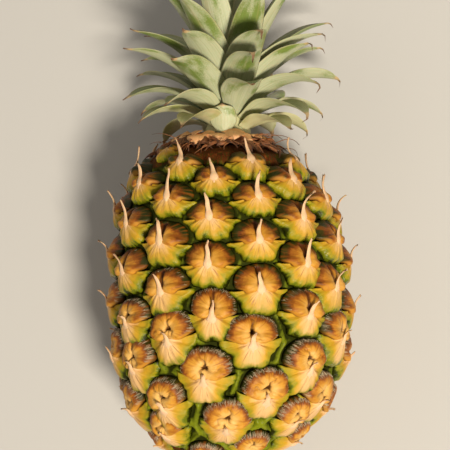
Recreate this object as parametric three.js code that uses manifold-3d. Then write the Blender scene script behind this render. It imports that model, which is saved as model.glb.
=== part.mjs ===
// A pineapple lying on its side: the fruit with its eyes, the dry collar above it,
// the leafy crown and the cut stalk. Millimetres, +Z up. The long axis runs along Y
// with the crown towards +Y, and the fruit rests on four flattened eyes at z = 0.
import * as THREE from 'three';
import { mergeVertices } from 'three/addons/utils/BufferGeometryUtils.js';
import Module from 'manifold-3d';

const wasm = await Module();
wasm.setup();

// ---- Driving dimensions ----

// Places along the fruit's axis are measured from its waist, positive to the crown.
const AXIS_X = 0.1; // where the axis stands at the waist, so that the bounding box is centred on the origin
const AXIS_HEIGHT = 56; // the axis over the surface
const MID_ALONG = 43.9; // the place along the axis that stands over the origin
const AXIS_BEND = 4.3; // how far the axis has curved sideways BEND_REACH from its straightest place
const BEND_REACH = 70;
const BEND_PLACE = -10;

const FRUIT_RADIUS = 59.3; // at the widest, over the eyes
const WIDEST_AT = -4;
const SHOULDER = { length: 80, power: 2.6, root: 0.397 }; // from the widest place to the neck
const BASE = { length: 78, power: 2.5, root: 0.473 }; // from the widest place to the stalk
const NECK_AT = 75; // where the shoulder ends flat
const FOOT_AT = -80; // where the base ends flat

// Eyes follow one spiral. Each turns by EYE_TURN from the last, and they stand in
// rows of every 5th, 8th and 13th eye. A spiral place is counted in steps of 40 eyes.
const DEGREE = Math.PI / 180;
const EYE_TURN = -138.727 * DEGREE;
const FIRST_TURN = 2.24 * DEGREE;
const SPIRAL_STEP = 40;
const FIRST_EYE = -31; // at the neck
const LAST_EYE = 66; // at the stalk
const EYE_ALONG = [32.9, -64.0, -10.8, -1.15, 2.48]; // powers of the spiral place
const EYE_DRIFT = [0, 0, 11.12 * DEGREE, 10.37 * DEGREE, -6.71 * DEGREE];
const LATTICE_TILT = 0.095; // the rows stand lower on the +X side
const EYE_CROWDING = 0.162; // the eyes are narrower on top than underneath
const CROWDED_SIDE = 12 * DEGREE; // the crowded side's angle from straight up, towards +X

// Eyes that grew out of step, moved by [turn in degrees, mm towards the crown].
const STRAY_EYES = new Map([
  [15, [-6, 0]],
  [31, [-6, 0]],
  [34, [0, 3]],
  [39, [-8, -3]],
  [41, [-9, -5]],
  [42, [-3, 5]],
  [47, [-13, -2]],
]);

const EYE_RELIEF = 6.4; // from the valleys up to a full-grown eye's knot
const EYE_HALF_WIDTH = 0.26; // in parts of the turn between side by side eyes
const FULL_EYE = 12.5; // half the height of a full-grown eye
const LOBES = { half: 1.25, middle: 0.3, tall: 0.75, relief: 0.85 };
const BRACT = { top: 0.12, bottom: -1.1, narrow: 0.5, step: 0.4, fall: 0.4 };
const GROOVE_POWER = 5; // the higher, the narrower the grooves between the eyes
const GROOVE_SHARE = 0.62; // how much of an eye's height its grooves alone give it
const CELLS_PER_EYE = 6; // mesh steps between neighbouring eyes

const SPINE = { width: 3.4, thickness: 1.9, lean: 34 * DEGREE, root: 3.5 };
const SPINE_LONGEST = 11;
const SPINE_SHORTEST = 4.5;
const SPINE_CLEARANCE = 2; // no spine tip is left lower than this

const CROWN_AT = 75.4; // where the crown's stem stands on the neck
const CROWN_X = 5.5; // how far the crown's foot stands from the neck's middle
const CROWN_LEAN = 0.13; // sideways per length
const CROWN_STEM = { foot: 12, tip: 3, length: 38 };
const LEAF_COUNT = 54;
const LEAF_TURN = 135.3 * DEGREE;
const FIRST_LEAF_TURN = 65 * DEGREE;
const FIRST_LEAF_RISE = 4.2; // from the stem's foot to the lowest leaf, clear of the dry collar
const LEAF_RISE = 0.54; // along the stem, from one leaf to the next
const LEAF_WIDTH = 18;
const LEAF_THICKNESS = 1.9;
const LEAF_STEPS = 5;

const DRY_LEAF_COUNT = 15;
const DRY_LEAF = { length: 13, width: 9, thickness: 1.3, steps: 2 };
const COLLAR = { low: 70, high: 78, slope: 6, sides: 20 };
const COLLAR_GAP = 0.35;

const STALK = { radius: 10.5, length: 7, chamfer: 1.2, sides: 22 };
const STALK_GAP = 0.3;

// ---- Small helpers ----

// Repeatable random numbers between 0 and 1.
function seededRandom(seed) {
  let state = seed >>> 0;
  return () => {
    state = (Math.imul(state, 1664525) + 1013904223) >>> 0;
    return state / 4294967296;
  };
}

const mix = THREE.MathUtils.lerp;
const clamp = THREE.MathUtils.clamp;
const smooth = THREE.MathUtils.smoothstep;

function polynomial(powers, place) {
  return powers.reduceRight((sum, factor) => sum * place + factor, 0);
}

function toSolid(geometry) {
  const bare = geometry.clone();
  bare.deleteAttribute('normal');
  bare.deleteAttribute('uv');
  const merged = mergeVertices(bare, 1e-4);
  return new wasm.Manifold(new wasm.Mesh({
    numProp: 3,
    vertProperties: new Float32Array(merged.attributes.position.array),
    triVerts: new Uint32Array(merged.index.array),
  }));
}

function toGeometry(solid) {
  const { vertProperties, triVerts } = solid.getMesh();
  const geometry = new THREE.BufferGeometry();
  geometry.setAttribute('position', new THREE.BufferAttribute(vertProperties, 3));
  geometry.setIndex(new THREE.BufferAttribute(triVerts, 1));
  geometry.computeVertexNormals();
  return geometry;
}

// Joins solids in pairs, which keeps each join small.
function join(solids) {
  if (solids.length === 1) return solids[0];
  const middle = solids.length >> 1;
  return join(solids.slice(0, middle)).add(join(solids.slice(middle)));
}

function fromFaces(points, faces) {
  const geometry = new THREE.BufferGeometry();
  geometry.setAttribute('position', new THREE.Float32BufferAttribute(points.flatMap((p) => p.toArray()), 3));
  geometry.setIndex(faces.flat());
  return geometry;
}

// A closed skin between two sheets of points. Both are rows of equally many points,
// and both are split into triangles alike.
function closedSheets(front, back) {
  const rows = front.length;
  const columns = front[0].length;
  const points = [...front.flat(), ...back.flat()];
  const at = (row, column) => row * columns + column;
  const under = (index) => index + rows * columns;
  const faces = [];
  for (let row = 0; row + 1 < rows; row += 1) {
    for (let column = 0; column + 1 < columns; column += 1) {
      const a = at(row, column);
      const b = at(row, column + 1);
      const c = at(row + 1, column + 1);
      const d = at(row + 1, column);
      faces.push([a, c, b], [a, d, c], [under(a), under(b), under(c)], [under(a), under(c), under(d)]);
    }
  }
  const rim = [];
  for (let column = 0; column + 1 < columns; column += 1) rim.push(at(0, column));
  for (let row = 0; row + 1 < rows; row += 1) rim.push(at(row, columns - 1));
  for (let column = columns - 1; column > 0; column -= 1) rim.push(at(rows - 1, column));
  for (let row = rows - 1; row > 0; row -= 1) rim.push(at(row, 0));
  rim.forEach((start, index) => {
    const end = rim[(index + 1) % rim.length];
    faces.push([start, under(end), under(start)], [start, end, under(end)]);
  });
  return fromFaces(points, faces);
}

// ---- The fruit's form ----

function axisX(along) {
  return AXIS_X - AXIS_BEND * ((along - BEND_PLACE) / BEND_REACH) ** 2;
}

// A point round the fruit's axis. The angle is from straight up, towards +X.
function bodyPoint(along, angle, radius) {
  return new THREE.Vector3(
    axisX(along) + radius * Math.sin(angle),
    along - MID_ALONG,
    AXIS_HEIGHT + radius * Math.cos(angle),
  );
}

// The radius over the eyes.
function outerRadius(along) {
  const half = along > WIDEST_AT ? SHOULDER : BASE;
  const part = Math.min(Math.abs(along - WIDEST_AT) / half.length, 0.9995);
  return FRUIT_RADIUS * (1 - part ** half.power) ** half.root;
}

// A place on the spiral lattice, counted in steps to every 8th and every 5th eye.
// Whole steps are eyes.
function latticePlace(eights, fives) {
  const eye = 8 * eights + 5 * fives;
  const place = eye / SPIRAL_STEP;
  const turn = eights * (8 * EYE_TURN + 6 * Math.PI) + fives * (5 * EYE_TURN + 4 * Math.PI);
  let angle = FIRST_TURN + turn + polynomial(EYE_DRIFT, place);
  let along = polynomial(EYE_ALONG, place);
  const radius = outerRadius(clamp(along, FOOT_AT, NECK_AT));
  along -= LATTICE_TILT * radius * Math.sin(angle - CROWDED_SIDE);
  angle -= EYE_CROWDING * Math.sin(angle - CROWDED_SIDE);
  const [strayTurn, strayAlong] = strayMove(eights, fives);
  return { eye, along: along + strayAlong, angle: angle + strayTurn };
}

// Stray eyes draw the lattice with them, less and less towards their neighbours.
function strayMove(eights, fives) {
  const corner = [Math.floor(eights), Math.floor(fives)];
  const inside = [eights - corner[0], fives - corner[1]];
  const move = [0, 0];
  for (const [right, up] of [[0, 0], [1, 0], [0, 1], [1, 1]]) {
    const stray = STRAY_EYES.get(8 * (corner[0] + right) + 5 * (corner[1] + up));
    const weight = (right ? inside[0] : 1 - inside[0]) * (up ? inside[1] : 1 - inside[1]);
    if (!stray) continue;
    move[0] += weight * stray[0] * DEGREE;
    move[1] += weight * stray[1];
  }
  return move;
}

// An eye's lattice place from its number on the spiral.
function eyePlace(eye) {
  const place = latticePlace(2 * eye, -3 * eye);
  const next = latticePlace(2 * eye + 1, -3 * eye + 1);
  const halfHeight = Math.max((place.along - next.along) / 2, 3.5);
  const radius = outerRadius(clamp(place.along, FOOT_AT, NECK_AT));
  const turnAcross = Math.abs(13 * EYE_TURN + 10 * Math.PI - 2 * (8 * EYE_TURN + 6 * Math.PI));
  const halfWidth = Math.max(radius * turnAcross * EYE_HALF_WIDTH, 3.5);
  return { ...place, radius, halfHeight, halfWidth };
}

// Relief of one eye, from 0 in the valley to 1 at the knot. Above the knot are the two
// lobes, below it the bract, which narrows down to its step over the next eye.
function eyeRelief(across, up) {
  const lobes = 1 - (across / LOBES.half) ** 2 - ((up - LOBES.middle) / LOBES.tall) ** 2;
  const lobeHeight = LOBES.relief * Math.max(lobes, 0) ** 0.33;
  if (up > BRACT.top || up < BRACT.bottom) return lobeHeight;
  const narrowing = smooth(-up, 0, 0.9);
  const side = Math.abs(across) / mix(1, BRACT.narrow, narrowing);
  if (side > 1) return lobeHeight;
  const ridge = mix(1, BRACT.step, smooth(-up, 0.2, 1.1));
  return Math.max(lobeHeight, ridge * (1 - BRACT.fall * side ** 2));
}

const EYES = new Map();
for (let eye = FIRST_EYE - 13; eye <= LAST_EYE + 13; eye += 1) EYES.set(eye, eyePlace(eye));

// The surface's radius at a lattice place. Grooves run between the eyes, halfway from one
// to the next, and each eye rises between them.
function surfaceRadius({ along, angle }, eights, fives) {
  const nearest = [Math.round(eights), Math.round(fives)];
  const eye = EYES.get(8 * nearest[0] + 5 * nearest[1]);
  const off = Math.max(Math.abs(eights - nearest[0]), Math.abs(fives - nearest[1]));
  const outer = outerRadius(clamp(along, FOOT_AT, NECK_AT));
  const turn = Math.atan2(Math.sin(angle - eye.angle), Math.cos(angle - eye.angle));
  const form = eyeRelief((turn * outer) / eye.halfWidth, (along - eye.along) / eye.halfHeight);
  const relief = (1 - (2 * off) ** GROOVE_POWER) * mix(GROOVE_SHARE, 1, form);
  const growth = clamp(eye.halfHeight / FULL_EYE, 0.4, 1.05);
  return Math.max(outer - EYE_RELIEF * growth * (1 - relief), 2);
}

// The fruit's skin is a mesh along the spiral lattice. Its points are numbered along the
// spiral in parts of an eye, CELLS_PER_EYE of them side by side at each number.
function fruitSkin() {
  const cells = CELLS_PER_EYE;
  const first = FIRST_EYE * cells;
  const last = LAST_EYE * cells;
  const points = [];
  for (let number = first; number <= last; number += 1) {
    for (let strand = 0; strand < cells; strand += 1) {
      const eights = (2 * number + 5 * strand) / cells;
      const fives = (-3 * number - 8 * strand) / cells;
      const place = latticePlace(eights, fives);
      const along = clamp(place.along, FOOT_AT, NECK_AT);
      const ends = smooth(Math.min(place.along - FOOT_AT, NECK_AT - place.along), -12, 0);
      const radius = ends * surfaceRadius(place, eights, fives);
      points.push(bodyPoint(along, place.angle, radius));
    }
  }
  const at = (number, strand) => (number - first) * cells + ((strand % cells) + cells) % cells;
  const faces = [];
  for (let number = first; number + 13 <= last; number += 1) {
    for (let strand = 0; strand < cells; strand += 1) {
      const corner = at(number, strand);
      const eighth = at(number + 8, strand - 3);
      const fifth = at(number + 5, strand - 2);
      const opposite = at(number + 13, strand - 5);
      faces.push([corner, eighth, opposite], [corner, opposite, fifth]);
    }
  }
  return closeEnds(points, faces);
}

// Closes a tube's open ends, each with a fan of triangles round its middle.
function closeEnds(points, faces) {
  const edges = new Map();
  for (const [a, b, c] of faces) {
    for (const [start, end] of [[a, b], [b, c], [c, a]]) {
      if (!edges.delete(`${end} ${start}`)) edges.set(`${start} ${end}`, [start, end]);
    }
  }
  const open = [...edges.values()];
  for (const side of [-1, 1]) {
    const rim = open.filter(([start]) => Math.sign(points[start].y + MID_ALONG) === side);
    const middle = new THREE.Vector3();
    rim.forEach(([start]) => middle.addScaledVector(points[start], 1 / rim.length));
    points.push(middle);
    rim.forEach(([start, end]) => faces.push([end, start, points.length - 1]));
  }
  return fromFaces(points, faces);
}

// The dry tip of a bract: a flat four-sided spike that leans towards the crown.
function spine(eye, random) {
  const place = EYES.get(eye);
  const age = smooth(eye, -5, 50);
  const length = mix(SPINE_LONGEST, SPINE_SHORTEST, age) * mix(0.75, 1.15, random());
  const twist = mix(-0.3, 0.3, random());
  const outward = SPINE.lean * mix(0.7, 1.3, random());
  const knot = bodyPoint(place.along, place.angle, place.radius);
  const out = new THREE.Vector3(Math.sin(place.angle), 0, Math.cos(place.angle));
  const side = new THREE.Vector3(out.z, 0, -out.x);
  const direction = new THREE.Vector3(0, Math.cos(outward), 0)
    .addScaledVector(out, Math.sin(outward))
    .addScaledVector(side, twist)
    .normalize();
  const tip = knot.clone().addScaledVector(direction, length);
  const onFruit = place.along > FOOT_AT + 6 && place.along < NECK_AT - 7;
  if (!onFruit || tip.z < SPINE_CLEARANCE || knot.z < SPINE.root) return null;
  const cone = new THREE.ConeGeometry(SPINE.width / Math.SQRT2, length + SPINE.root, 4, 1);
  cone.rotateY(Math.PI / 4);
  cone.scale(1, 1, SPINE.thickness / SPINE.width);
  cone.translate(0, (length + SPINE.root) / 2 - SPINE.root, 0);
  const flat = new THREE.Vector3().crossVectors(side, direction).normalize();
  const across = new THREE.Vector3().crossVectors(direction, flat);
  cone.applyMatrix4(new THREE.Matrix4().makeBasis(across, direction, flat));
  cone.translate(...knot.addScaledVector(out, -1.2).toArray());
  return toSolid(cone);
}

function overSurface(solid) {
  const slab = new THREE.BoxGeometry(600, 800, 100);
  slab.translate(0, 0, -50);
  return solid.subtract(toSolid(slab));
}

function fruit() {
  const random = seededRandom(5);
  const spines = [];
  for (let eye = FIRST_EYE; eye <= LAST_EYE; eye += 1) spines.push(spine(eye, random));
  return overSurface(join([toSolid(fruitSkin()), ...spines.filter(Boolean)]));
}

// ---- Leaves ----

// A channelled blade on the crown's axis. Its middle line starts at tilt.from from the
// axis and curls out to tilt.to, and its edges stand towards the axis by the channel.
function blade({ foot, angle, length, width, thickness, tilt, channel, steps, twist, outline }) {
  const out = new THREE.Vector3(Math.sin(angle), 0, Math.cos(angle));
  const side = new THREE.Vector3(out.z, 0, -out.x);
  const axis = new THREE.Vector3(0, 1, 0);
  const front = [];
  const back = [];
  const middle = foot.clone();
  for (let step = 0; step <= steps; step += 1) {
    const part = step / steps;
    const lean = mix(tilt.from, tilt.to, part ** 1.5);
    const run = axis.clone().multiplyScalar(Math.cos(lean)).addScaledVector(out, Math.sin(lean));
    if (step) middle.addScaledVector(run, length / steps);
    const inward = axis.clone().multiplyScalar(Math.sin(lean)).addScaledVector(out, -Math.cos(lean));
    const half = (width / 2) * outline(part);
    const across = side.clone().applyAxisAngle(run, twist * part);
    const depth = Math.max(thickness * (1 - 0.6 * part), 0.7);
    const row = [-1, 0, 1].map((edge) => middle.clone()
      .addScaledVector(across, edge * half)
      .addScaledVector(inward, Math.abs(edge) * channel * half));
    front.push(row);
    back.push(row.map((point, index) => {
      const thin = index === 1 ? 1 : 0.75;
      return point.clone().addScaledVector(inward, -depth * thin);
    }));
  }
  return closedSheets(front, back);
}

// Broad at the foot, broadest past a third of its length and drawn out to a point.
function leafOutline(part) {
  const body = mix(0.55, 1, smooth(part, 0, 0.4));
  return Math.max(body * (1 - part ** 4.5) ** 0.75, 0.05);
}

function crownAxis(along) {
  const up = along - CROWN_AT;
  const foot = new THREE.Vector3(axisX(CROWN_AT) + CROWN_X, along - MID_ALONG, AXIS_HEIGHT);
  foot.x += up * CROWN_LEAN;
  return foot;
}

// The crown's leaf by its number from the foot: short and curled down at the foot,
// long and upright at the heart.
function crownLeaf(number, random) {
  const rank = number / (LEAF_COUNT - 1);
  const jitter = (size) => (random() - 0.5) * 2 * size;
  const along = CROWN_AT + FIRST_LEAF_RISE + LEAF_RISE * number;
  const angle = FIRST_LEAF_TURN + LEAF_TURN * number + jitter(5) * DEGREE;
  const young = smooth(rank, 0.55, 1);
  let length = mix(30, 53, smooth(rank, -0.1, 0.4)) + 17 * smooth(rank, 0.5, 0.85);
  length = (length - 6 * smooth(rank, 0.85, 1)) * (1 + jitter(0.06));
  const from = mix(mix(62, 34, smooth(rank, 0, 0.6)), 3, young) * DEGREE;
  let to = mix(mix(138, 84, smooth(rank, 0, 0.55)), 9, young) * DEGREE + jitter(12) * DEGREE;
  const down = smooth(-Math.cos(angle), 0.5, 1);
  length *= 1 - 0.09 * down;
  to -= 0.12 * down * to;
  const stem = mix(CROWN_STEM.foot, CROWN_STEM.tip, clamp((LEAF_RISE * number) / CROWN_STEM.length, 0, 1));
  const foot = crownAxis(along);
  foot.x += Math.sin(angle) * (stem - 1.5);
  foot.z += Math.cos(angle) * (stem - 1.5);
  return blade({
    foot,
    angle,
    length,
    width: LEAF_WIDTH * mix(1, 0.62, young) * (1 + jitter(0.08)),
    thickness: LEAF_THICKNESS,
    tilt: { from, to },
    channel: 0.3,
    steps: LEAF_STEPS,
    twist: jitter(0.35),
    outline: leafOutline,
  });
}

function crownStem(gap = 0) {
  const { foot, tip, length } = CROWN_STEM;
  const stem = new THREE.CylinderGeometry(tip + gap, foot + gap, length, 14);
  stem.translate(0, length / 2, 0);
  stem.applyMatrix4(new THREE.Matrix4().makeShear(0, 0, CROWN_LEAN, 0, 0, 0));
  const start = crownAxis(CROWN_AT);
  stem.translate(start.x, start.y, start.z);
  return toSolid(stem);
}

function crown() {
  const random = seededRandom(11);
  const leaves = [];
  for (let number = 0; number < LEAF_COUNT; number += 1) leaves.push(toSolid(crownLeaf(number, random)));
  return join([crownStem(), ...leaves]);
}

// ---- The dry collar and the stalk ----

// A ring round the crown's foot, which follows the shoulder just clear of it.
function collarRing() {
  const { low, high, slope, sides } = COLLAR;
  const shoulder = [NECK_AT, (low + NECK_AT) / 2, low];
  const under = shoulder.map((along) => [outerRadius(along) + COLLAR_GAP, along + COLLAR_GAP]);
  const rim = outerRadius(low) + COLLAR_GAP;
  const profile = [[0, NECK_AT + COLLAR_GAP], ...under, [rim, low + 3], [rim - slope, high], [0, high]];
  const ring = new THREE.LatheGeometry(profile.map(([x, y]) => new THREE.Vector2(x, y)), sides);
  const middle = bodyPoint(0, 0, 0);
  ring.translate(axisX(NECK_AT), middle.y, middle.z);
  return toSolid(ring);
}

function dryLeaf(number, random) {
  const angle = (number + mix(-0.3, 0.3, random())) * ((2 * Math.PI) / DRY_LEAF_COUNT);
  const place = mix(0.15, 0.9, random());
  const along = mix(COLLAR.high, COLLAR.low + 3, place) - 1;
  const radius = outerRadius(COLLAR.low) - mix(COLLAR.slope, 0, place) - 2;
  const foot = bodyPoint(along, angle, radius);
  return blade({
    foot,
    angle,
    length: DRY_LEAF.length * mix(0.75, 1.1, random()),
    width: DRY_LEAF.width * mix(0.7, 1.15, random()),
    thickness: DRY_LEAF.thickness,
    tilt: { from: mix(70, 88, random()) * DEGREE, to: mix(105, 125, random()) * DEGREE },
    channel: 0.25,
    steps: DRY_LEAF.steps,
    twist: mix(-0.6, 0.6, random()),
    outline: leafOutline,
  });
}

function collar() {
  const random = seededRandom(23);
  const leaves = [];
  for (let number = 0; number < DRY_LEAF_COUNT; number += 1) leaves.push(toSolid(dryLeaf(number, random)));
  const ring = collarRing().subtract(crownStem(COLLAR_GAP));
  return join([ring, ...leaves]);
}

function stalk() {
  const { radius, length, chamfer, sides } = STALK;
  const end = [[0, -length], [radius - chamfer, -length], [radius, chamfer - length], [radius, 0], [0, 0]];
  const stub = new THREE.LatheGeometry(end.map(([x, y]) => new THREE.Vector2(x, y)), sides);
  const foot = bodyPoint(FOOT_AT - STALK_GAP, 0, 0);
  stub.translate(foot.x, foot.y, foot.z);
  return toSolid(stub);
}

// ---- The whole pineapple ----

function mesh(name, solid, colour, roughness) {
  const material = new THREE.MeshStandardMaterial({ color: colour, roughness, metalness: 0 });
  const piece = new THREE.Mesh(toGeometry(solid), material);
  piece.name = name;
  return piece;
}

const pineapple = new THREE.Group();
pineapple.name = 'pineapple';
pineapple.add(mesh('fruit', fruit(), 0xc98a2a, 0.45));
pineapple.add(mesh('crown_leaves', crown(), 0x9db08a, 0.55));
pineapple.add(mesh('dry_collar', collar(), 0xa9825c, 0.8));
pineapple.add(mesh('cut_stalk', stalk(), 0xb8a478, 0.75));

export default pineapple;
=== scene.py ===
"""Dresses a pineapple that lies on its side: rind, eyes, bracts, dry spines, leafy crown,
dry collar and cut stalk. Metres, +Z up. The long axis runs along Y, the crown towards +Y."""
import math
from collections import namedtuple
from functools import lru_cache

import bmesh
import bpy
from mathutils import Matrix, Vector, kdtree, noise
from numpy import array, interp


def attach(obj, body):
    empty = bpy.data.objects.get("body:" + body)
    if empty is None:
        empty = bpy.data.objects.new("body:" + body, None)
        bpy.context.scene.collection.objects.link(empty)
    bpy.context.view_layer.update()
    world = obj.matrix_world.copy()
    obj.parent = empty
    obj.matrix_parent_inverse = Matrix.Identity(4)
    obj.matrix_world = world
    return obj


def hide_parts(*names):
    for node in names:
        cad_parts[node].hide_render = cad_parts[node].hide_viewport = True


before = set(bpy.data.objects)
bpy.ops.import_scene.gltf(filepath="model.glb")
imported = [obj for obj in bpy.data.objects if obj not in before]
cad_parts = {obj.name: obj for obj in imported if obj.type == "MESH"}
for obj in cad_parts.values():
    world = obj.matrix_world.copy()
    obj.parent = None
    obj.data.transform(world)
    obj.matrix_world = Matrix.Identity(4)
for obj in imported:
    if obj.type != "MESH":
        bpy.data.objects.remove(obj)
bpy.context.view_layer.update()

bl_info = {
    "name": "Pineapple",
    "version": (1, 0, 0),
    "blender": (4, 5, 0),
    "location": "View3D > Sidebar > Pineapple",
    "description": "Builds a pineapple with its eyes, bracts, spines, crown and cut stalk",
    "category": "Add Mesh",
}

MM = 0.001
DEGREE = math.pi / 180
TAU = 2 * math.pi

# ---- The fruit's form: places along its axis are measured from its waist ----

AXIS_X = 0.1 * MM
AXIS_HEIGHT = 56 * MM
MID_ALONG = 43.9 * MM
AXIS_BEND = 4.3 * MM
BEND_REACH = 70 * MM
BEND_PLACE = -10 * MM
FRUIT_RADIUS = 59.3 * MM
WIDEST_AT = -4 * MM
SHOULDER = {"length": 80 * MM, "power": 2.6, "root": 0.397}
BASE = {"length": 78 * MM, "power": 2.5, "root": 0.473}
NECK_AT = 75 * MM
FOOT_AT = -80 * MM

# Eyes follow one spiral, in rows of every 5th, 8th and 13th eye.
EYE_TURN = -138.727 * DEGREE
EIGHTH_TURN = 8 * EYE_TURN + 3 * TAU
FIFTH_TURN = 5 * EYE_TURN + 2 * TAU
HALF_EYE_TURN = (FIFTH_TURN - EIGHTH_TURN) / 4
HALF_ROW = 6.5  # eyes on the spiral from an eye's knot to its top
FIRST_TURN = 2.24 * DEGREE
SPIRAL_STEP = 40
FIRST_EYE = -31
LAST_EYE = 66
# Powers of an eye's number over SPIRAL_STEP: its place along, and its drift round the fruit.
EYE_ALONG = (32.9 * MM, -64.0 * MM, -10.8 * MM, -1.15 * MM, 2.48 * MM)
EYE_DRIFT = (0, 0, 11.12 * DEGREE, 10.37 * DEGREE, -6.71 * DEGREE)
LATTICE_TILT = 0.095
EYE_CROWDING = 0.162
CROWDED_SIDE = 12 * DEGREE
STRAY_EYES = {  # how far round and along an eye stands out of step
    15: (-6 * DEGREE, 0), 31: (-6 * DEGREE, 0), 34: (0, 3 * MM), 39: (-8 * DEGREE, -3 * MM),
    41: (-9 * DEGREE, -5 * MM), 42: (-3 * DEGREE, 5 * MM), 47: (-13 * DEGREE, -2 * MM),
}
FULL_EYE = 12.5 * MM  # half the height of a full-grown eye
TALLEST_EYE = 15 * MM
SMALLEST_EYE = 5 * MM  # half its width
EYE_TILT = 0.09
MERIDIAN_STEPS = 400

# ---- Crown, collar and stalk ----

CROWN_AT = 75.4 * MM
CROWN_X = 5.5 * MM
CROWN_LEAN = 0.13
CROWN_STEM = {"foot": 12 * MM, "tip": 3 * MM, "length": 38 * MM}
LEAF_COUNT = 54
LEAF_TURN = 135.3 * DEGREE
FIRST_LEAF_TURN = 65 * DEGREE
FIRST_LEAF_RISE = 4.2 * MM
LEAF_RISE = 0.54 * MM
COLLAR_LOW = 70 * MM
COLLAR_HIGH = 78 * MM
COLLAR_SLOPE = 6 * MM
STALK_RADIUS = 10.5 * MM
STALK_LENGTH = 7 * MM

Eye = namedtuple("Eye", "number along angle width height tilt age growth chance")
Cut = namedtuple("Cut", "middle across face half thickness channel", defaults=(0.0,))


# ---- Small helpers ----

def mix(first, second, part):
    return first + (second - first) * part


def clamp(value, low=0.0, high=1.0):
    return min(max(value, low), high)


def smooth(value, low, high):
    """0 up to low, 1 from high on and a smooth step between them."""
    part = clamp((value - low) / (high - low))
    return part * part * (3 - 2 * part)


def bell(value, width):
    """1 at nought, and down to 0.37 a width away from it."""
    return math.exp(-(value / width) ** 2)


def through(stops, value):
    """A smooth curve through (place, height) stops."""
    for (start, low), (end, high) in zip(stops, stops[1:]):
        if value <= end:
            return mix(low, high, smooth(value, start, end))
    return stops[-1][1]


def seeded_random(seed):
    """Repeatable random numbers between 0 and 1, one for each call."""
    state = [seed]

    def draw():
        state[0] = (state[0] * 1664525 + 1013904223) & 0xFFFFFFFF
        return state[0] / 4294967296

    return draw


def waver(*place):
    """Smooth noise between about -1 and 1 at a place of up to three numbers."""
    return noise.noise(Vector((*place, 0.0, 0.0)[:3]))


def polynomial(powers, place):
    """The sum of a place's powers, each times its factor."""
    return sum(factor * place ** power for power, factor in enumerate(powers))


# ---- Places on the fruit ----

def axis_x(along):
    """How far to the side the fruit's axis is: it bends a little."""
    return AXIS_X - AXIS_BEND * ((along - BEND_PLACE) / BEND_REACH) ** 2


def body_point(along, angle, radius):
    """A point round the fruit's axis. The angle is from straight up, towards +X."""
    x = axis_x(along) + radius * math.sin(angle)
    return Vector((x, along - MID_ALONG, AXIS_HEIGHT + radius * math.cos(angle)))


def outer_radius(along):
    """The radius over the eyes."""
    half = SHOULDER if along > WIDEST_AT else BASE
    part = min(abs(along - WIDEST_AT) / half["length"], 0.9995)
    return FRUIT_RADIUS * (1 - part ** half["power"]) ** half["root"]


def surface_point(along, angle, lift):
    """A point lifted square off the fruit's outer form."""
    place = clamp(along, FOOT_AT, NECK_AT)
    slope = (outer_radius(place + MM / 2) - outer_radius(place - MM / 2)) / MM
    steep = math.hypot(1, slope)
    radius = max(outer_radius(place) + lift / steep, 0.5 * MM)
    return body_point(clamp(place - lift * slope / steep, FOOT_AT, NECK_AT), angle, radius)


def stray_move(eights, fives):
    """Eyes that grew out of step draw the lattice with them, less towards their neighbours."""
    turn, shift = 0.0, 0.0
    low_eight, low_five = math.floor(eights), math.floor(fives)
    for right, up in ((0, 0), (1, 0), (0, 1), (1, 1)):
        stray = STRAY_EYES.get(8 * (low_eight + right) + 5 * (low_five + up))
        if stray:
            weight = abs(1 - right - (eights - low_eight)) * abs(1 - up - (fives - low_five))
            turn += weight * stray[0]
            shift += weight * stray[1]
    return turn, shift


def lattice_place(eights, fives):
    """Along and angle on the spiral lattice, counted in steps to every 8th and 5th eye."""
    place = (8 * eights + 5 * fives) / SPIRAL_STEP
    angle = FIRST_TURN + eights * EIGHTH_TURN + fives * FIFTH_TURN + polynomial(EYE_DRIFT, place)
    along = polynomial(EYE_ALONG, place)
    side = math.sin(angle - CROWDED_SIDE)
    along -= LATTICE_TILT * outer_radius(clamp(along, FOOT_AT, NECK_AT)) * side
    angle -= EYE_CROWDING * math.sin(angle - CROWDED_SIDE)
    turn, shift = stray_move(eights, fives)
    return along + shift, angle + turn


def eye_place(number, across, up):
    """A place near an eye's knot, in half widths across and half heights up."""
    turn = across * HALF_EYE_TURN
    steps = -HALF_ROW * up
    eights = 2 * number + (steps * FIFTH_TURN - 5 * turn) / TAU
    fives = -3 * number + (8 * turn - steps * EIGHTH_TURN) / TAU
    return lattice_place(eights, fives)


@lru_cache(maxsize=None)
def meridian():
    """Places along the axis, and how far over the surface each is from the foot."""
    places = [mix(FOOT_AT, NECK_AT, step / MERIDIAN_STEPS) for step in range(MERIDIAN_STEPS + 1)]
    lengths = [0.0]
    for low, high in zip(places, places[1:]):
        lengths.append(lengths[-1] + math.hypot(high - low, outer_radius(high) - outer_radius(low)))
    return array(places), array(lengths)


def walk(along, distance):
    """The place along the axis that is a distance up the surface from another."""
    places, lengths = meridian()
    return float(interp(interp(along, places, lengths) + distance, lengths, places))


def knot_place(number):
    """Where an eye's knot is on the outer form."""
    return surface_point(*eye_place(number, 0, 0), 0)


@lru_cache(maxsize=None)
def eye_facts(number):
    """An eye's place, half its width and half its height, from the eyes around it."""
    along, angle = eye_place(number, 0, 0)
    knot = knot_place(number)
    beside = [(knot_place(number + step) - knot).length for step in (-8, -5, 5, 8)]
    above = [(knot_place(number + step) - knot).length for step in (-13, 13)]
    width = max(sum(beside) / 8, SMALLEST_EYE)
    height = min(sum(above) / 4, 1.1 * width, TALLEST_EYE)
    random = seeded_random(number * 7919 + 60013)
    tilt, chance = [mix(-EYE_TILT, EYE_TILT, random()), random()]
    growth = clamp(height / FULL_EYE, 0.5, 1.05)
    return Eye(number, along, angle, width, height, tilt, smooth(number, -5, 50), growth, chance)


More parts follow.
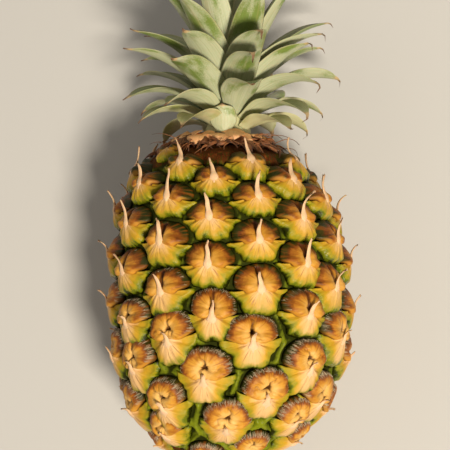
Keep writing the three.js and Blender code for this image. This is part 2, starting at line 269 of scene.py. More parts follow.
def eye_point(eye, across, up, lift):
    """A point on an eye, in half widths across and half heights up from its knot."""
    side, rise = across * eye.width, up * eye.height
    turned = side * math.cos(eye.tilt) - rise * math.sin(eye.tilt)
    along = walk(eye.along, side * math.sin(eye.tilt) + rise * math.cos(eye.tilt))
    angle = eye.angle + turned / max(outer_radius(along), 8 * MM)
    point = surface_point(along, angle, lift * eye.growth)
    point.z = max(point.z, 0.0)
    return point


def whole_eyes():
    """Every eye that shows between the collar and the stalk."""
    eyes = [eye_facts(number) for number in range(FIRST_EYE, LAST_EYE + 1)]
    return [eye for eye in eyes if FOOT_AT - MM < eye.along < NECK_AT - 5 * MM]


# ---- Meshes ----

MERGE_DISTANCE = 0.001 * MM
SHORTEST_EDGE = 0.0005 * MM


def add_patch(bm, columns, rows, place, layers):
    """Moves a grid's points to place(column, row), both from 0 to 1, which also gives marks."""
    grid = bmesh.ops.create_grid(bm, x_segments=columns, y_segments=rows, size=1.0)
    for vert in grid["verts"]:
        point, *marks = place((vert.co.x + 1) / 2, (vert.co.y + 1) / 2)
        vert.co = point
        for layer, mark in zip(layers, marks):
            vert[layer] = mark


def finish_piece(bm, name, material, node):
    """Turns a bmesh into a smooth piece that stands for a node of the part."""
    bmesh.ops.remove_doubles(bm, verts=bm.verts, dist=MERGE_DISTANCE)
    bmesh.ops.dissolve_degenerate(bm, edges=bm.edges, dist=SHORTEST_EDGE)
    bmesh.ops.holes_fill(bm, edges=[edge for edge in bm.edges if edge.is_boundary], sides=0)
    bmesh.ops.recalc_face_normals(bm, faces=bm.faces)
    for face in bm.faces:
        face.smooth = True
    mesh = bpy.data.meshes.new(name)
    bm.to_mesh(mesh)
    bm.free()
    mesh.materials.append(material)
    piece = bpy.data.objects.new(name, mesh)
    bpy.context.scene.collection.objects.link(piece)
    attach(piece, "root")
    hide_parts(node)


def new_bmesh(*marks):
    """An empty bmesh, with a vector layer on its points for each mark."""
    bm = bmesh.new()
    return bm, [bm.verts.layers.float_vector.new(mark) for mark in marks]


def gather(bm, part):
    """Adds a part's faces to bm and frees it: a big bmesh is slow to add many shapes to."""
    mesh = bpy.data.meshes.new("part")
    part.to_mesh(mesh)
    part.free()
    bm.from_mesh(mesh)
    bpy.data.meshes.remove(mesh)


# ---- Node trees ----

class Graph:
    """Short words for building one node tree."""

    def __init__(self, tree):
        self.tree = tree

    def node(self, kind, **settings):
        made = self.tree.nodes.new(kind)
        for name, value in settings.items():
            setattr(made, name, value)
        return made

    def feed(self, socket, value):
        if isinstance(value, bpy.types.NodeSocket):
            self.tree.links.new(value, socket)
        elif socket.type == "RGBA":
            socket.default_value = (*value, 1.0)
        else:
            socket.default_value = value

    def math(self, operation, first, second=0.0, third=0.0):
        made = self.node("ShaderNodeMath", operation=operation)
        for socket, value in zip(made.inputs, (first, second, third)):
            self.feed(socket, value)
        return made.outputs[0]

    def times(self, first, second):
        return self.math("MULTIPLY", first, second)

    def stir(self, value, noise, amount):
        """A value that a noise between 0 and 1 moves up and down by up to half an amount."""
        return self.math("MULTIPLY_ADD", self.math("SUBTRACT", noise, 0.5), amount, value)

    def vector(self, operation, first, second=(0.0, 0.0, 0.0), scale=1.0):
        made = self.node("ShaderNodeVectorMath", operation=operation)
        self.feed(made.inputs[0], first)
        self.feed(made.inputs[1], second)
        self.feed(made.inputs[3], scale)
        return made.outputs["Value" if operation == "LENGTH" else "Vector"]

    def split(self, vector):
        made = self.node("ShaderNodeSeparateXYZ")
        self.feed(made.inputs[0], vector)
        return made.outputs

    def join(self, x, y, z=0.0):
        made = self.node("ShaderNodeCombineXYZ")
        for socket, value in zip(made.inputs, (x, y, z)):
            self.feed(socket, value)
        return made.outputs[0]

    def mark(self, name):
        return self.node("ShaderNodeAttribute", attribute_name=name).outputs["Vector"]

    def place(self):
        return self.node("ShaderNodeTexCoord").outputs["Object"]

    def noise(self, vector, scale, detail=2.0, roughness=0.5):
        made = self.node("ShaderNodeTexNoise")
        settings = {"Vector": vector, "Scale": scale, "Detail": detail, "Roughness": roughness}
        for name, value in settings.items():
            self.feed(made.inputs[name], value)
        return made.outputs["Fac"]

    def spread(self, value, low, high, to_low=0.0, to_high=1.0):
        """A value between low and high, spread smoothly between two others."""
        made = self.node("ShaderNodeMapRange", interpolation_type="SMOOTHSTEP")
        for socket, number in zip(made.inputs, (value, low, high, to_low, to_high)):
            self.feed(socket, number)
        return made.outputs["Result"]

    def mix(self, factor, first, second):
        """Two colours mixed. The node keeps its colour sockets behind those for numbers."""
        made = self.node("ShaderNodeMix", data_type="RGBA")
        for socket, value in zip((0, 6, 7), (factor, first, second)):
            self.feed(made.inputs[socket], value)
        return made.outputs[2]

    def ramp(self, factor, stops):
        made = self.node("ShaderNodeValToRGB")
        made.color_ramp.interpolation = "EASE"
        points = made.color_ramp.elements
        while len(points) < len(stops):
            points.new(0.5)
        for point, (place, colour) in zip(points, stops):
            point.position = place
            point.color = (*colour, 1.0)
        self.feed(made.inputs[0], factor)
        return made.outputs["Color"]

    def bump(self, height, distance, strength):
        made = self.node("ShaderNodeBump")
        for name, value in {"Strength": strength, "Distance": distance, "Height": height}.items():
            self.feed(made.inputs[name], value)
        return made.outputs["Normal"]

    def group(self, name, **inputs):
        made = self.node("ShaderNodeGroup", node_tree=bpy.data.node_groups[name])
        for socket, value in inputs.items():
            self.feed(made.inputs[socket.replace("_", " ").capitalize()], value)
        return made.outputs


NUMBER, VECTOR = "NodeSocketFloat", "NodeSocketVector"


def new_group(name, inputs, outputs):
    """An empty shader node group with named inputs and outputs."""
    tree = bpy.data.node_groups.new(name, "ShaderNodeTree")
    for title, kind, value in inputs:
        socket = tree.interface.new_socket(title, in_out="INPUT", socket_type=kind)
        socket.default_value = value
    for title, kind in outputs:
        tree.interface.new_socket(title, in_out="OUTPUT", socket_type=kind)
    graph = Graph(tree)
    return graph, graph.node("NodeGroupInput").outputs, graph.node("NodeGroupOutput").inputs


def build_fan_group():
    """Fine lines that run out from a middle, such as the fibres of a bract."""
    graph, given, out = new_group(
        "Fan lines",
        [("Place", VECTOR, (0, 0, 0)), ("Count", NUMBER, 20.0), ("Length", NUMBER, 1.0),
         ("Chance", NUMBER, 0.0)],
        [("Lines", NUMBER), ("Broad", NUMBER)])
    direction = graph.vector("NORMALIZE", given["Place"])
    reach = graph.times(graph.vector("LENGTH", given["Place"]), given["Length"])
    drift = graph.join(0.0, 0.0, graph.math("MULTIPLY_ADD", given["Chance"], 37.0, reach))
    fine = graph.vector("SCALE", direction, scale=given["Count"])
    broad = graph.vector("SCALE", fine, scale=0.4)
    graph.feed(out["Lines"], graph.noise(graph.vector("ADD", fine, drift), 1.0, 3.0, 0.6))
    graph.feed(out["Broad"], graph.noise(graph.vector("ADD", broad, drift), 1.0, 1.0))


def build_fibre_group():
    """Fine lines along a blade, whose mark holds across, along and chance."""
    graph, given, out = new_group(
        "Fibres",
        [("Mark", VECTOR, (0, 0, 0)), ("Count", NUMBER, 20.0), ("Length", NUMBER, 2.0)],
        [("Lines", NUMBER), ("Broad", NUMBER)])
    across, along, chance = graph.split(given["Mark"])
    row = graph.times(along, given["Length"])
    seed = graph.times(chance, 37.0)
    fine = graph.join(graph.times(across, given["Count"]), row, seed)
    graph.feed(out["Lines"], graph.noise(fine, 1.0, 3.0, 0.6))
    graph.feed(out["Broad"], graph.noise(graph.vector("MULTIPLY", fine, (0.2, 1.0, 1.0)), 1.0, 1.0))


def build_mottle_group():
    """Soft blotches and fine grain that cover a surface unevenly."""
    graph, given, out = new_group(
        "Mottle", [("Blotch size", NUMBER, 6 * MM), ("Grain size", NUMBER, 0.6 * MM)],
        [("Blotches", NUMBER), ("Grain", NUMBER)])
    place = graph.place()
    for title, size in (("Blotches", "Blotch size"), ("Grain", "Grain size")):
        scale = graph.math("DIVIDE", 1.0, given[size])
        graph.feed(out[title], graph.noise(place, scale, 3.0, 0.55))


def new_material(name, roughness, **constants):
    """A material's graph and its shader. Constants are set on the shader's own sockets."""
    material = bpy.data.materials.new(name)
    material.use_nodes = True
    graph = Graph(material.node_tree)
    shader = graph.tree.nodes["Principled BSDF"]
    shader.inputs["Roughness"].default_value = roughness
    for socket, value in constants.items():
        shader.inputs[socket.replace("_", " ")].default_value = value
    return material, graph, shader.inputs


def valley_material(colours):
    """Dark green in the grooves, partly the rind's own green and partly painted shade, and light
    and glossy along the ridges of the older eyes.
    """
    material, graph, shader = new_material("Valley rind", 0.3, Specular_IOR_Level=0.09)
    mottle = graph.group("Mottle", blotch_size=3 * MM, grain_size=0.9 * MM)
    ridge, old, husk = graph.split(graph.mark("rind"))
    ragged = graph.stir(ridge, mottle["Blotches"], 0.8)
    # Painted shade in part: the colour darkens with the depth of the grooves, from the ridges down
    # into them.
    dark = graph.ramp(ragged, [(0.2, colours.groove_green_and_shade), (0.75, colours.green), (1.0, colours.rim)])
    light = graph.ramp(ragged, [(0.1, colours.groove_green_and_shade), (0.45, colours.green),
                                (0.85, colours.ridge)])
    skin = graph.mix(old, dark, light)
    grain = graph.spread(mottle["Grain"], 0.45, 0.75, 0.0, 0.4)
    skin = graph.mix(grain, skin, colours.groove_green_and_shade)
    drawn = graph.vector("MULTIPLY", graph.place(), (1.0, 0.14, 1.0))
    fibres = graph.noise(drawn, 1 / (0.8 * MM), 3.0, 0.6)
    felt = graph.ramp(fibres, [(0.36, colours.olive), (0.52, colours.seam), (0.66, colours.brown),
                               (0.8, colours.streak)])
    ragged_husk = graph.stir(husk, fibres, 0.8)
    graph.feed(shader["Base Color"], graph.mix(graph.spread(ragged_husk, 0.1, 0.6), skin, felt))
    graph.feed(shader["Roughness"], graph.spread(ragged, 0.3, 0.9, 0.85, 0.22))
    relief = graph.math("MULTIPLY_ADD", mottle["Grain"], 0.6, mottle["Blotches"])
    relief = graph.math("MULTIPLY_ADD", graph.times(husk, fibres), 1.5, relief)
    graph.feed(shader["Normal"], graph.bump(relief, 0.5 * MM, 0.6))
    return material


def lobe_material(colours):
    """Golden in the middle of the eye, brown outwards and olive at the rim."""
    material, graph, shader = new_material("Eye lobes", 0.38, Specular_IOR_Level=0.22)
    x, y, age = graph.split(graph.mark("lobe"))
    chance, rim, lower = graph.split(graph.mark("eye"))
    flat = graph.join(x, y)
    fan = graph.group("Fan lines", place=flat, count=14.0, length=1.0, chance=chance)
    mottle = graph.group("Mottle", blotch_size=3.5 * MM, grain_size=0.4 * MM)
    reach = graph.vector("LENGTH", flat)
    lines = graph.times(graph.math("SUBTRACT", fan["Lines"], 0.5),
                        graph.spread(reach, 0.1, 0.7, 0.06, 0.3))
    ragged = graph.math("ADD", lines, reach)
    ragged = graph.stir(ragged, mottle["Blotches"], 0.5)
    worn = graph.math("ADD", ragged, graph.spread(age, 0.7, 1.0, 0.0, -0.07))
    # Towards the rim, where the lobes dip into the groove, the colour turns dark: partly their own
    # brown, partly painted shade.
    old = graph.ramp(worn, [(0.16, colours.cream), (0.44, colours.gold), (0.58, colours.orange),
                            (0.67, colours.red), (0.76, colours.brown), (0.86, colours.groove_green_and_shade)])
    dent, painted_neck_shade, _ = graph.split(graph.mark("dent"))
    shade = graph.math("ADD", ragged, graph.spread(age, 0.02, 0.3, 0.2, 0.0))
    # Painted shade: darker still towards the crown, for the crown's shadow and the shoulder turning
    # away from the light.
    shade = graph.math("MULTIPLY_ADD", painted_neck_shade, 0.42, shade)
    # Here too the rim turns dark where the lobes dip into the groove: partly their own olive,
    # partly painted shade.
    young = graph.ramp(shade, [(0.34, colours.gold), (0.56, colours.orange), (0.7, colours.amber),
                               (0.82, colours.brown), (0.91, colours.olive), (1.0, colours.groove_green_and_shade)])
    aged = graph.math("ADD", age, graph.math("MULTIPLY_ADD", chance, 0.3, -0.15))
    skin = graph.mix(aged, young, old)
    blush = graph.times(graph.spread(fan["Broad"], 0.5, 0.68), graph.spread(reach, 0.2, 0.5))
    skin = graph.mix(graph.times(blush, 0.55), skin, colours.red)
    # Painted highlight: a pale gold lip along the lobes' lower edge, over the bract.
    painted_lip_highlight = graph.times(lower, graph.spread(rim, 0.76, 0.9))
    skin = graph.mix(graph.times(painted_lip_highlight, 0.7), skin, colours.gold)
    downy = graph.times(graph.spread(reach, 0.7, 0.82), graph.spread(reach, 0.98, 0.88))
    downy = graph.times(downy, graph.spread(fan["Lines"], 0.48, 0.62))
    downy = graph.times(downy, graph.spread(age, 0.25, 0.85, 0.0, 0.4))
    skin = graph.mix(downy, skin, colours.papery)
    # Darker with the depth of the cleft, the creases and the hole: partly their own dark brown,
    # partly painted shade in them.
    dent = graph.spread(dent, 0.5, 1.7, 0.0, 0.92)
    # Painted shadow: a thin dark line along the lobes' lower edge, where they meet the bract.
    line = graph.times(lower, graph.spread(rim, 0.93, 0.97))
    skin = graph.mix(graph.math("MAXIMUM", dent, line), skin, colours.seam)
    graph.feed(shader["Base Color"], skin)
    graph.feed(shader["Roughness"], graph.spread(mottle["Grain"], 0.3, 0.7, 0.35, 0.6))
    relief = graph.math("MULTIPLY_ADD", mottle["Grain"], 0.5, graph.times(lines, 2.0))
    graph.feed(shader["Normal"], graph.bump(relief, 0.5 * MM, 0.55))
    return material


def bract_material(colours):
    """Cream at the knot, yellow over the fan and green at the lower rim."""
    material, graph, shader = new_material("Bracts", 0.34, Specular_IOR_Level=0.2)
    x, y, reach = graph.split(graph.mark("bract"))
    age, chance, wing = graph.split(graph.mark("eye"))
    flat = graph.join(x, y)
    fan = graph.group("Fan lines", place=flat, count=9.0, length=0.7, chance=chance)
    mottle = graph.group("Mottle", blotch_size=4 * MM, grain_size=0.4 * MM)
    ragged = graph.stir(reach, fan["Broad"], 0.4)
    ragged = graph.stir(ragged, fan["Lines"], 0.16)
    ragged = graph.stir(ragged, mottle["Blotches"], 0.4)
    ripe = graph.spread(reach, 0.4, 0.8, 0.0, graph.spread(age, 0.0, 0.7, -0.06, 0.01))
    ripe = graph.math("ADD", ragged, ripe)
    # At the very rim, where it turns down into the groove, the colour ends in the groove's dark
    # green: partly painted shade.
    skirt = graph.ramp(ripe, [(0.2, colours.peach), (0.38, colours.cream), (0.6, colours.yellow),
                              (0.79, colours.lime), (0.88, colours.green), (0.96, colours.groove_green_and_shade)])
    wings = graph.ramp(ripe, [(0.14, colours.peach), (0.28, colours.cream), (0.5, colours.yellow),
                              (0.86, colours.lime), (0.93, colours.green), (0.99, colours.groove_green_and_shade)])
    skin = graph.mix(wing, skirt, wings)
    middle = graph.times(graph.spread(graph.math("ABSOLUTE", x), 0.46, 0.1),
                         graph.spread(ragged, 0.92, 0.6))
    middle = graph.times(middle, graph.spread(age, 0.1, 0.7, 0.1, 0.8))
    skin = graph.mix(middle, skin, colours.peach)
    streak = graph.times(graph.spread(reach, 0.22, 0.36), graph.spread(reach, 0.75, 0.5))
    streak = graph.times(streak, graph.spread(fan["Lines"], 0.42, 0.36))
    streak = graph.times(streak, graph.spread(wing, 0.9, 0.2))
    skin = graph.mix(graph.times(streak, 0.75), skin, colours.streak)
    pale = graph.times(graph.spread(fan["Lines"], 0.56, 0.68), graph.spread(reach, 0.9, 0.4))
    skin = graph.mix(graph.times(pale, 0.3), skin, colours.cream)
    graph.feed(shader["Base Color"], skin)
    graph.feed(shader["Roughness"], graph.spread(reach, 0.6, 0.95, 0.52, 0.22))
    relief = graph.math("ADD", graph.times(fan["Lines"], 0.7), graph.times(mottle["Grain"], 0.3))
    graph.feed(shader["Normal"], graph.bump(relief, 0.8 * MM, 0.8))
    return material


def papery_material(name, pale, dark, middle=0.7):
    """Dry tissue with fine lengthwise fibres, darker towards its tip."""
    material, graph, shader = new_material(name, 0.6, Subsurface_Weight=0.1)
    shader["Subsurface Scale"].default_value = 1 * MM
    mark = graph.mark("blade")
    along = graph.split(mark)["Y"]
    fibres = graph.group("Fibres", mark=mark, count=7.0, length=1.5)
    ragged = graph.stir(along, fibres["Lines"], 0.7)
    skin = graph.mix(graph.spread(ragged, middle - 0.4, middle + 0.45), pale, dark)
    skin = graph.mix(graph.spread(fibres["Lines"], 0.5, 0.2, 0.0, 0.4), skin, dark)
    graph.feed(shader["Base Color"], skin)
    graph.feed(shader["Normal"], graph.bump(fibres["Lines"], 0.3 * MM, 0.7))
    return material


def leaf_material(colours):
    """Green with a pale bloom that is rubbed off in patches, and a dry tip."""
    material, graph, shader = new_material("Crown leaves", 0.5, Subsurface_Weight=0.05)
    shader["Subsurface Scale"].default_value = 2 * MM
    mark = graph.mark("blade")
    across, along, chance = graph.split(mark)
    rank, outer, tip = graph.split(graph.mark("leaf"))
    fibres = graph.group("Fibres", mark=mark, count=16.0, length=1.2)
    mottle = graph.group("Mottle", blotch_size=9 * MM, grain_size=0.7 * MM)
    patch = graph.join(graph.times(across, 0.9), graph.times(along, 2.6), graph.times(chance, 91.0))
    rubbed = graph.noise(patch, 1.0, 2.0, 0.5)
    rubbed = graph.stir(rubbed, mottle["Grain"], 0.22)
    rubbed = graph.stir(rubbed, fibres["Lines"], 0.22)
    rubbed = graph.math("MULTIPLY_ADD", graph.spread(along, 0.3, 0.8), 0.1, rubbed)
    bloom = graph.mix(graph.spread(fibres["Lines"], 0.25, 0.6), colours.bloom_low, colours.bloom)
    skin = graph.mix(graph.spread(rubbed, 0.54, 0.74), bloom, colours.rubbed)
    inner = graph.mix(graph.spread(fibres["Lines"], 0.3, 0.7), colours.inner, colours.bloom_low)
    skin = graph.mix(outer, inner, skin)
    edge = graph.spread(graph.math("ABSOLUTE", across), 0.86, 1.0)
    skin = graph.mix(graph.times(edge, 0.5), skin, colours.edge)
    foot = graph.times(graph.spread(rank, 0.25, 0.0), 0.5)
    skin = graph.mix(foot, skin, colours.foot)
    ragged = graph.stir(tip, fibres["Broad"], 0.25)
    skin = graph.mix(graph.spread(ragged, 0.0, 0.2), skin, colours.dry)
    skin = graph.mix(graph.spread(ragged, 0.3, 0.9), skin, colours.dead)
    graph.feed(shader["Base Color"], skin)
    graph.feed(shader["Roughness"], graph.spread(rubbed, 0.5, 0.72, 0.6, 0.36))
    relief = graph.math("ADD", graph.times(fibres["Lines"], 0.8), graph.times(mottle["Grain"], 0.2))
    graph.feed(shader["Normal"], graph.bump(relief, 0.35 * MM, 0.6))
    return material


def stalk_material(colours):
    """A dry cut stalk: bundles of fibres on its face, rough bark down its side."""
    material, graph, shader = new_material("Cut stalk", 0.75)
    mottle = graph.group("Mottle", blotch_size=4 * MM, grain_size=0.5 * MM)
    side, reach, _ = graph.split(graph.mark("stalk"))
    cells = graph.node("ShaderNodeTexVoronoi")
    graph.feed(cells.inputs["Vector"], graph.vector("MULTIPLY", graph.place(), (1.0, 0.12, 1.0)))
    graph.feed(cells.inputs["Scale"], 1 / (0.9 * MM))
    bundles = graph.spread(cells.outputs["Distance"], 0.15, 0.4)
    stain = graph.stir(reach, mottle["Blotches"], 0.7)
    pith = graph.mix(graph.spread(stain, 0.55, 0.95), colours.pith, colours.fibre)
    face = graph.mix(bundles, colours.fibre, pith)
    bark = graph.mix(graph.spread(mottle["Blotches"], 0.35, 0.65), colours.bark, colours.fibre)
    skin = graph.mix(side, face, bark)
    skin = graph.mix(graph.times(mottle["Grain"], 0.4), skin, colours.bark)
    graph.feed(shader["Base Color"], skin)
    height = graph.math("ADD", bundles, mottle["Grain"])
    graph.feed(shader["Normal"], graph.bump(height, 0.4 * MM, 0.8))
    return material


# ---- Settings ----

def length(name, description, default):
    """A size in metres that a user may change."""
    return bpy.props.FloatProperty(name=name, description=description, default=default,
                                   subtype="DISTANCE", unit="LENGTH")


def colour(name, description, default):
    """A colour in linear light."""
    return bpy.props.FloatVectorProperty(name=name, description=description, default=default,
                                         subtype="COLOR", min=0.0, max=1.0)


def share(name, description, default):
    """A number that stands for a part of something."""
    return bpy.props.FloatProperty(name=name, description=description, default=default,
                                   subtype="FACTOR", min=0.0, max=2.0)


class RindSettings(bpy.types.PropertyGroup):
    groove_depth: length("Groove depth", "From the knots down to the grooves", 6.8 * MM)
    ridge_height: length("Ridge height", "From the grooves up to the ridges between eyes", 3.4 * MM)
    husk_depth: length("Husk depth", "From the knots down to the brown felt at the ends", 2.6 * MM)
    spine_longest: length("Longest spine", "The dry tip of the youngest bracts", 11 * MM)
    spine_shortest: length("Shortest spine", "The dry tip of the oldest bracts", 4.5 * MM)
    # Partly painted shade: this near-black green also darkens the grooves and the rims that dip
    # into them.
    groove_green_and_shade: colour("Valley", "The darkest green, between the eyes", (0.021, 0.025, 0.001))
    green: colour("Green", "The lower rims of the bracts", (0.125, 0.148, 0.005))
    rim: colour("Rim", "The ridges between the young eyes", (0.09, 0.1, 0.004))
    ridge: colour("Ridge", "The ridges between the old eyes", (0.18, 0.205, 0.007))
    lime: colour("Lime", "Between the yellow and the green", (0.31, 0.25, 0.01))
    yellow: colour("Yellow", "The bracts' wings", (0.53, 0.3, 0.016))
    cream: colour("Cream", "The pale fan under each knot", (0.7, 0.41, 0.11))
    peach: colour("Peach", "The knots", (0.75, 0.46, 0.21))
    gold: colour("Gold", "The middle of an old eye", (0.58, 0.27, 0.028))
    orange: colour("Orange", "Round the middle of an eye", (0.46, 0.18, 0.016))
    amber: colour("Amber", "The outer part of a young eye", (0.27, 0.085, 0.008))
    brown: colour("Brown", "The outer part of the lobes", (0.12, 0.03, 0.003))
    red: colour("Red", "The ring round an old eye", (0.27, 0.075, 0.007))
    olive: colour("Olive", "The lobes' rim", (0.045, 0.034, 0.002))
    seam: colour("Seam", "Between the lobes", (0.07, 0.016, 0.002))
    streak: colour("Streak", "Fine brown lines on the bracts", (0.34, 0.15, 0.05))
    papery: colour("Papery", "Hairs on the rims", (0.66, 0.5, 0.32))
    spine: colour("Spine", "The dry tips of the bracts", (0.75, 0.49, 0.27))
    spine_tip: colour("Spine tip", "The ends of the dry tips", (0.5, 0.29, 0.16))


class CrownSettings(bpy.types.PropertyGroup):
    leaf_width: length("Leaf width", "The broadest leaves", 18 * MM)
    leaf_thickness: length("Leaf thickness", "At the foot of a leaf", 1.9 * MM)
    channel: share("Channel", "How far a leaf's edges stand up", 0.3)
    bloom: colour("Bloom", "The pale bloom on a leaf's outer face", (0.46, 0.47, 0.29))
    bloom_low: colour("Thin bloom", "Where the bloom is thin", (0.35, 0.38, 0.2))
    rubbed: colour("Rubbed", "Where the bloom is rubbed off", (0.17, 0.23, 0.045))
    inner: colour("Inner face", "The face towards the heart", (0.12, 0.17, 0.04))
    edge: colour("Edge", "The leaves' margins", (0.55, 0.52, 0.28))
    foot: colour("Foot", "The lowest leaves", (0.58, 0.52, 0.24))
    dry: colour("Dry", "Where a tip has dried", (0.5, 0.36, 0.17))
    dead: colour("Dead", "The ends of the dry tips", (0.16, 0.08, 0.035))


class CollarSettings(bpy.types.PropertyGroup):
    scale_length: length("Scale length", "The pale leaf bases round the stem", 10.5 * MM)
    shred_length: length("Shred length", "The dry brown leaflets", 13 * MM)
    thread_length: length("Thread length", "The curled threads", 15 * MM)
    scale_pale: colour("Scales", "The pale leaf bases", (0.8, 0.42, 0.18))
    scale_dark: colour("Scale edges", "The edges of the leaf bases", (0.3, 0.13, 0.05))
    shred_pale: colour("Shreds", "The dry leaflets", (0.4, 0.15, 0.05))
    shred_dark: colour("Shred tips", "The tips of the dry leaflets", (0.06, 0.02, 0.006))


class StalkSettings(bpy.types.PropertyGroup):
    roughness: length("Roughness", "How uneven the stalk's side is", 0.6 * MM)
    pith: colour("Pith", "The cut face", (0.55, 0.42, 0.22))
    fibre: colour("Fibre", "The bundles on the cut face", (0.3, 0.2, 0.08))
    bark: colour("Bark", "The stalk's side", (0.16, 0.11, 0.045))
    sheath: colour("Sheath", "The small dry bracts round the stalk", (0.3, 0.17, 0.07))


class StageSettings(bpy.types.PropertyGroup):
    distance: length("Camera distance", "From the fruit's middle to the camera", 900 * MM)
    lens: bpy.props.FloatProperty(name="Lens", description="The camera's focal length",
                                  default=148.8, unit="CAMERA")
    floor: colour("Floor", "The plain floor", (0.52, 0.505, 0.475))
    key: bpy.props.FloatProperty(name="Key", description="The main light, in watts",
                                 default=47.5, unit="POWER")
    fill: bpy.props.FloatProperty(name="Fill", description="The soft light, in watts",
                                  default=2.5, unit="POWER")
    sky: share("Sky", "The light from all round", 0.2)


# ---- The rind between the eyes ----

RIND_COLUMNS = 360
RIND_ROWS = 230
RIND_END = 0.04  # the share of the rows that closes each end
RIDGE_WIDTH = 4.6 * MM  # differences between the distances to the two nearest knots
RIDGE_TOP = 0.8 * MM
RIND_WRINKLE = 0.5 * MM
NECK_HUSK = (61 * MM, 68 * MM)  # where the brown felt starts, and where it is full
FOOT_HUSK = (-75.5 * MM, -78 * MM)
HUSK_WAVER = 2 * MM
SPIRAL_RIDGE = 0.45  # how high a ridge is between an eye and the 13th from it
LOBE_ROUNDING = 2.3  # 2 makes an oval, more makes it squarer


def net_height(near):
    """How far the skin stands up at a place, 0 in the grooves round the eyes and 1 on the
    ridge halfway between two. near holds the closest knots' (place, index, distance)."""
    (_, own, shortest), *others = near
    ridge = 0.0
    for _, other, distance in others:
        strength = SPIRAL_RIDGE if abs(own - other) == 13 else 1.0
        ridge = max(ridge, strength * smooth(shortest - distance, -RIDGE_WIDTH, -RIDGE_TOP))
    return ridge


def lobe_reach(eye, along, angle):
    """How far out a place is from an eye's lobes: 1 at their rim."""
    places, lengths = meridian()
    start, end = interp((eye.along, along), places, lengths)
    turned = (angle - eye.angle + math.pi) % TAU - math.pi
    side, rise = turned * outer_radius(along), float(end - start)
    across = (side * math.cos(eye.tilt) + rise * math.sin(eye.tilt)) / eye.width
    up = (rise * math.cos(eye.tilt) - side * math.sin(eye.tilt)) / eye.height
    middle, half, top, foot = lobe_measures(eye)
    tall = top if up > middle else foot
    return ((abs(across) / half) ** LOBE_ROUNDING
            + (abs(up - middle) / tall) ** LOBE_ROUNDING) ** (1 / LOBE_ROUNDING)


def build_rind(settings, material):
    """The skin between the eyes: a groove round each eye and ridges between the grooves."""
    eyes = [eye_facts(number) for number in range(FIRST_EYE, LAST_EYE + 1)]
    tree = kdtree.KDTree(len(eyes))
    for index, eye in enumerate(eyes):
        tree.insert(knot_place(eye.number), index)
    tree.balance()
    middle, half = (NECK_AT + FOOT_AT) / 2, (NECK_AT - FOOT_AT) / 2

    def place(column, row):
        angle = column * TAU
        part = clamp((row - RIND_END) / (1 - 2 * RIND_END))
        along = middle + half * math.sin((part - 0.5) * math.pi)
        outer = surface_point(along, angle, 0)
        near = tree.find_n(outer, 3)
        eye = eyes[near[0][1]]
        old = smooth(eye.age, 0.2, 0.8)
        ringed = min(lobe_reach(eyes[index], along, angle) for _, index, _ in near)
        ridge = net_height(near) * smooth(ringed, 1.0, 1.22)
        wavy = along + HUSK_WAVER * waver(*(outer / (5 * MM)))
        husk = smooth(wavy, *NECK_HUSK) + smooth(wavy, *FOOT_HUSK)
        wrinkle = RIND_WRINKLE * waver(*(outer / (2.2 * MM)))
        uneven = clamp(0.5 + 1.3 * waver(*(outer / (7 * MM))))
        rise = settings.ridge_height * mix(0.3, 1.0, old) * mix(0.35, 1.1, uneven)
        lift = -eye.growth * (settings.groove_depth - rise * ridge) + wrinkle
        lift = mix(lift, -settings.husk_depth + wrinkle, husk)
        closing = min(row / RIND_END, (1 - row) / RIND_END, 1.0)
        point = surface_point(along, angle, lift)
        point = body_point(along, 0, 0).lerp(point, closing)
        point.z = max(point.z, 0.0)
        return point, (ridge * mix(0.5, 1.0, uneven), old, husk)

    bm, layers = new_bmesh("rind")
    add_patch(bm, RIND_COLUMNS, RIND_ROWS, place, layers)
    finish_piece(bm, "rind", material, "fruit")


# ---- The eyes' lobes ----

LOBE_COLUMNS = 56
LOBE_ROWS = 17
LOBE_FOOT = -0.2  # in half heights of an eye
OLD_LOBE_FOOT = -0.1
SUNK = -8 * MM  # where the lobes and bracts close, under the skin
CREASES = (90 * DEGREE, 212 * DEGREE, 328 * DEGREE)  # where an old eye's three sepals meet
PAINTED_NECK_SHADE = (46 * MM, 66 * MM)  # along the axis, where the lobes turn darker: painted shade for the crown's shadow and the shoulder turning away from the light

# Heights and depths in mm. The first of a pair is a young eye's and the second an old one's.
LOBE_FALL = (5.4, 4.4)  # from the middle to the rim, over the middle and under it
CHEEK_HEIGHT = (1.7, 0.9)
CLEFT_DEPTH = (2.6, 0.3)
CREASE_DEPTH = 1.2
HOLE_DEPTH = 2.4
SAUCER_HEIGHT = 0.7
FOLD_HEIGHT = 0.55
LOBE_UNEVENNESS = 0.5
LOBE_DROP = 0.5  # from the outer form to the middle


@lru_cache(maxsize=None)
def lobe_measures(eye):
    """The lobes' middle, half their width, and their reach over and under the middle."""
    old = smooth(eye.age, 0.3, 0.85)
    middle = mix(0.12, 0.36, old)
    top, foot = mix(0.96, 1.05, old), mix(LOBE_FOOT, OLD_LOBE_FOOT, old)
    return middle, mix(0.98, 1.0, old), top - middle, middle - foot


def lobe_place(eye, angle, reach):
    """Across and up on an eye from the lobes' own angle and reach."""
    rise, side = math.sin(angle), math.cos(angle)
    middle, half, top, foot = lobe_measures(eye)

    def oval(tall):
        return ((abs(side) / half) ** LOBE_ROUNDING
                + (abs(rise) / tall) ** LOBE_ROUNDING) ** (-1 / LOBE_ROUNDING)

    outline = oval(top)
    if rise < 0:  # each cheek hangs over a wing of the bract
        old = smooth(eye.age, 0.3, 0.7)
        outline = oval(foot * (mix(0.76, 0.86, old)
                               + mix(0.5, 0.12, old) * bell(abs(oval(foot) * side) - 0.42, 0.24)))
    outline *= 1 + 0.06 * waver(2 * side, 2 * rise, eye.number * 1.7)
    return reach * outline * side, middle + reach * outline * rise


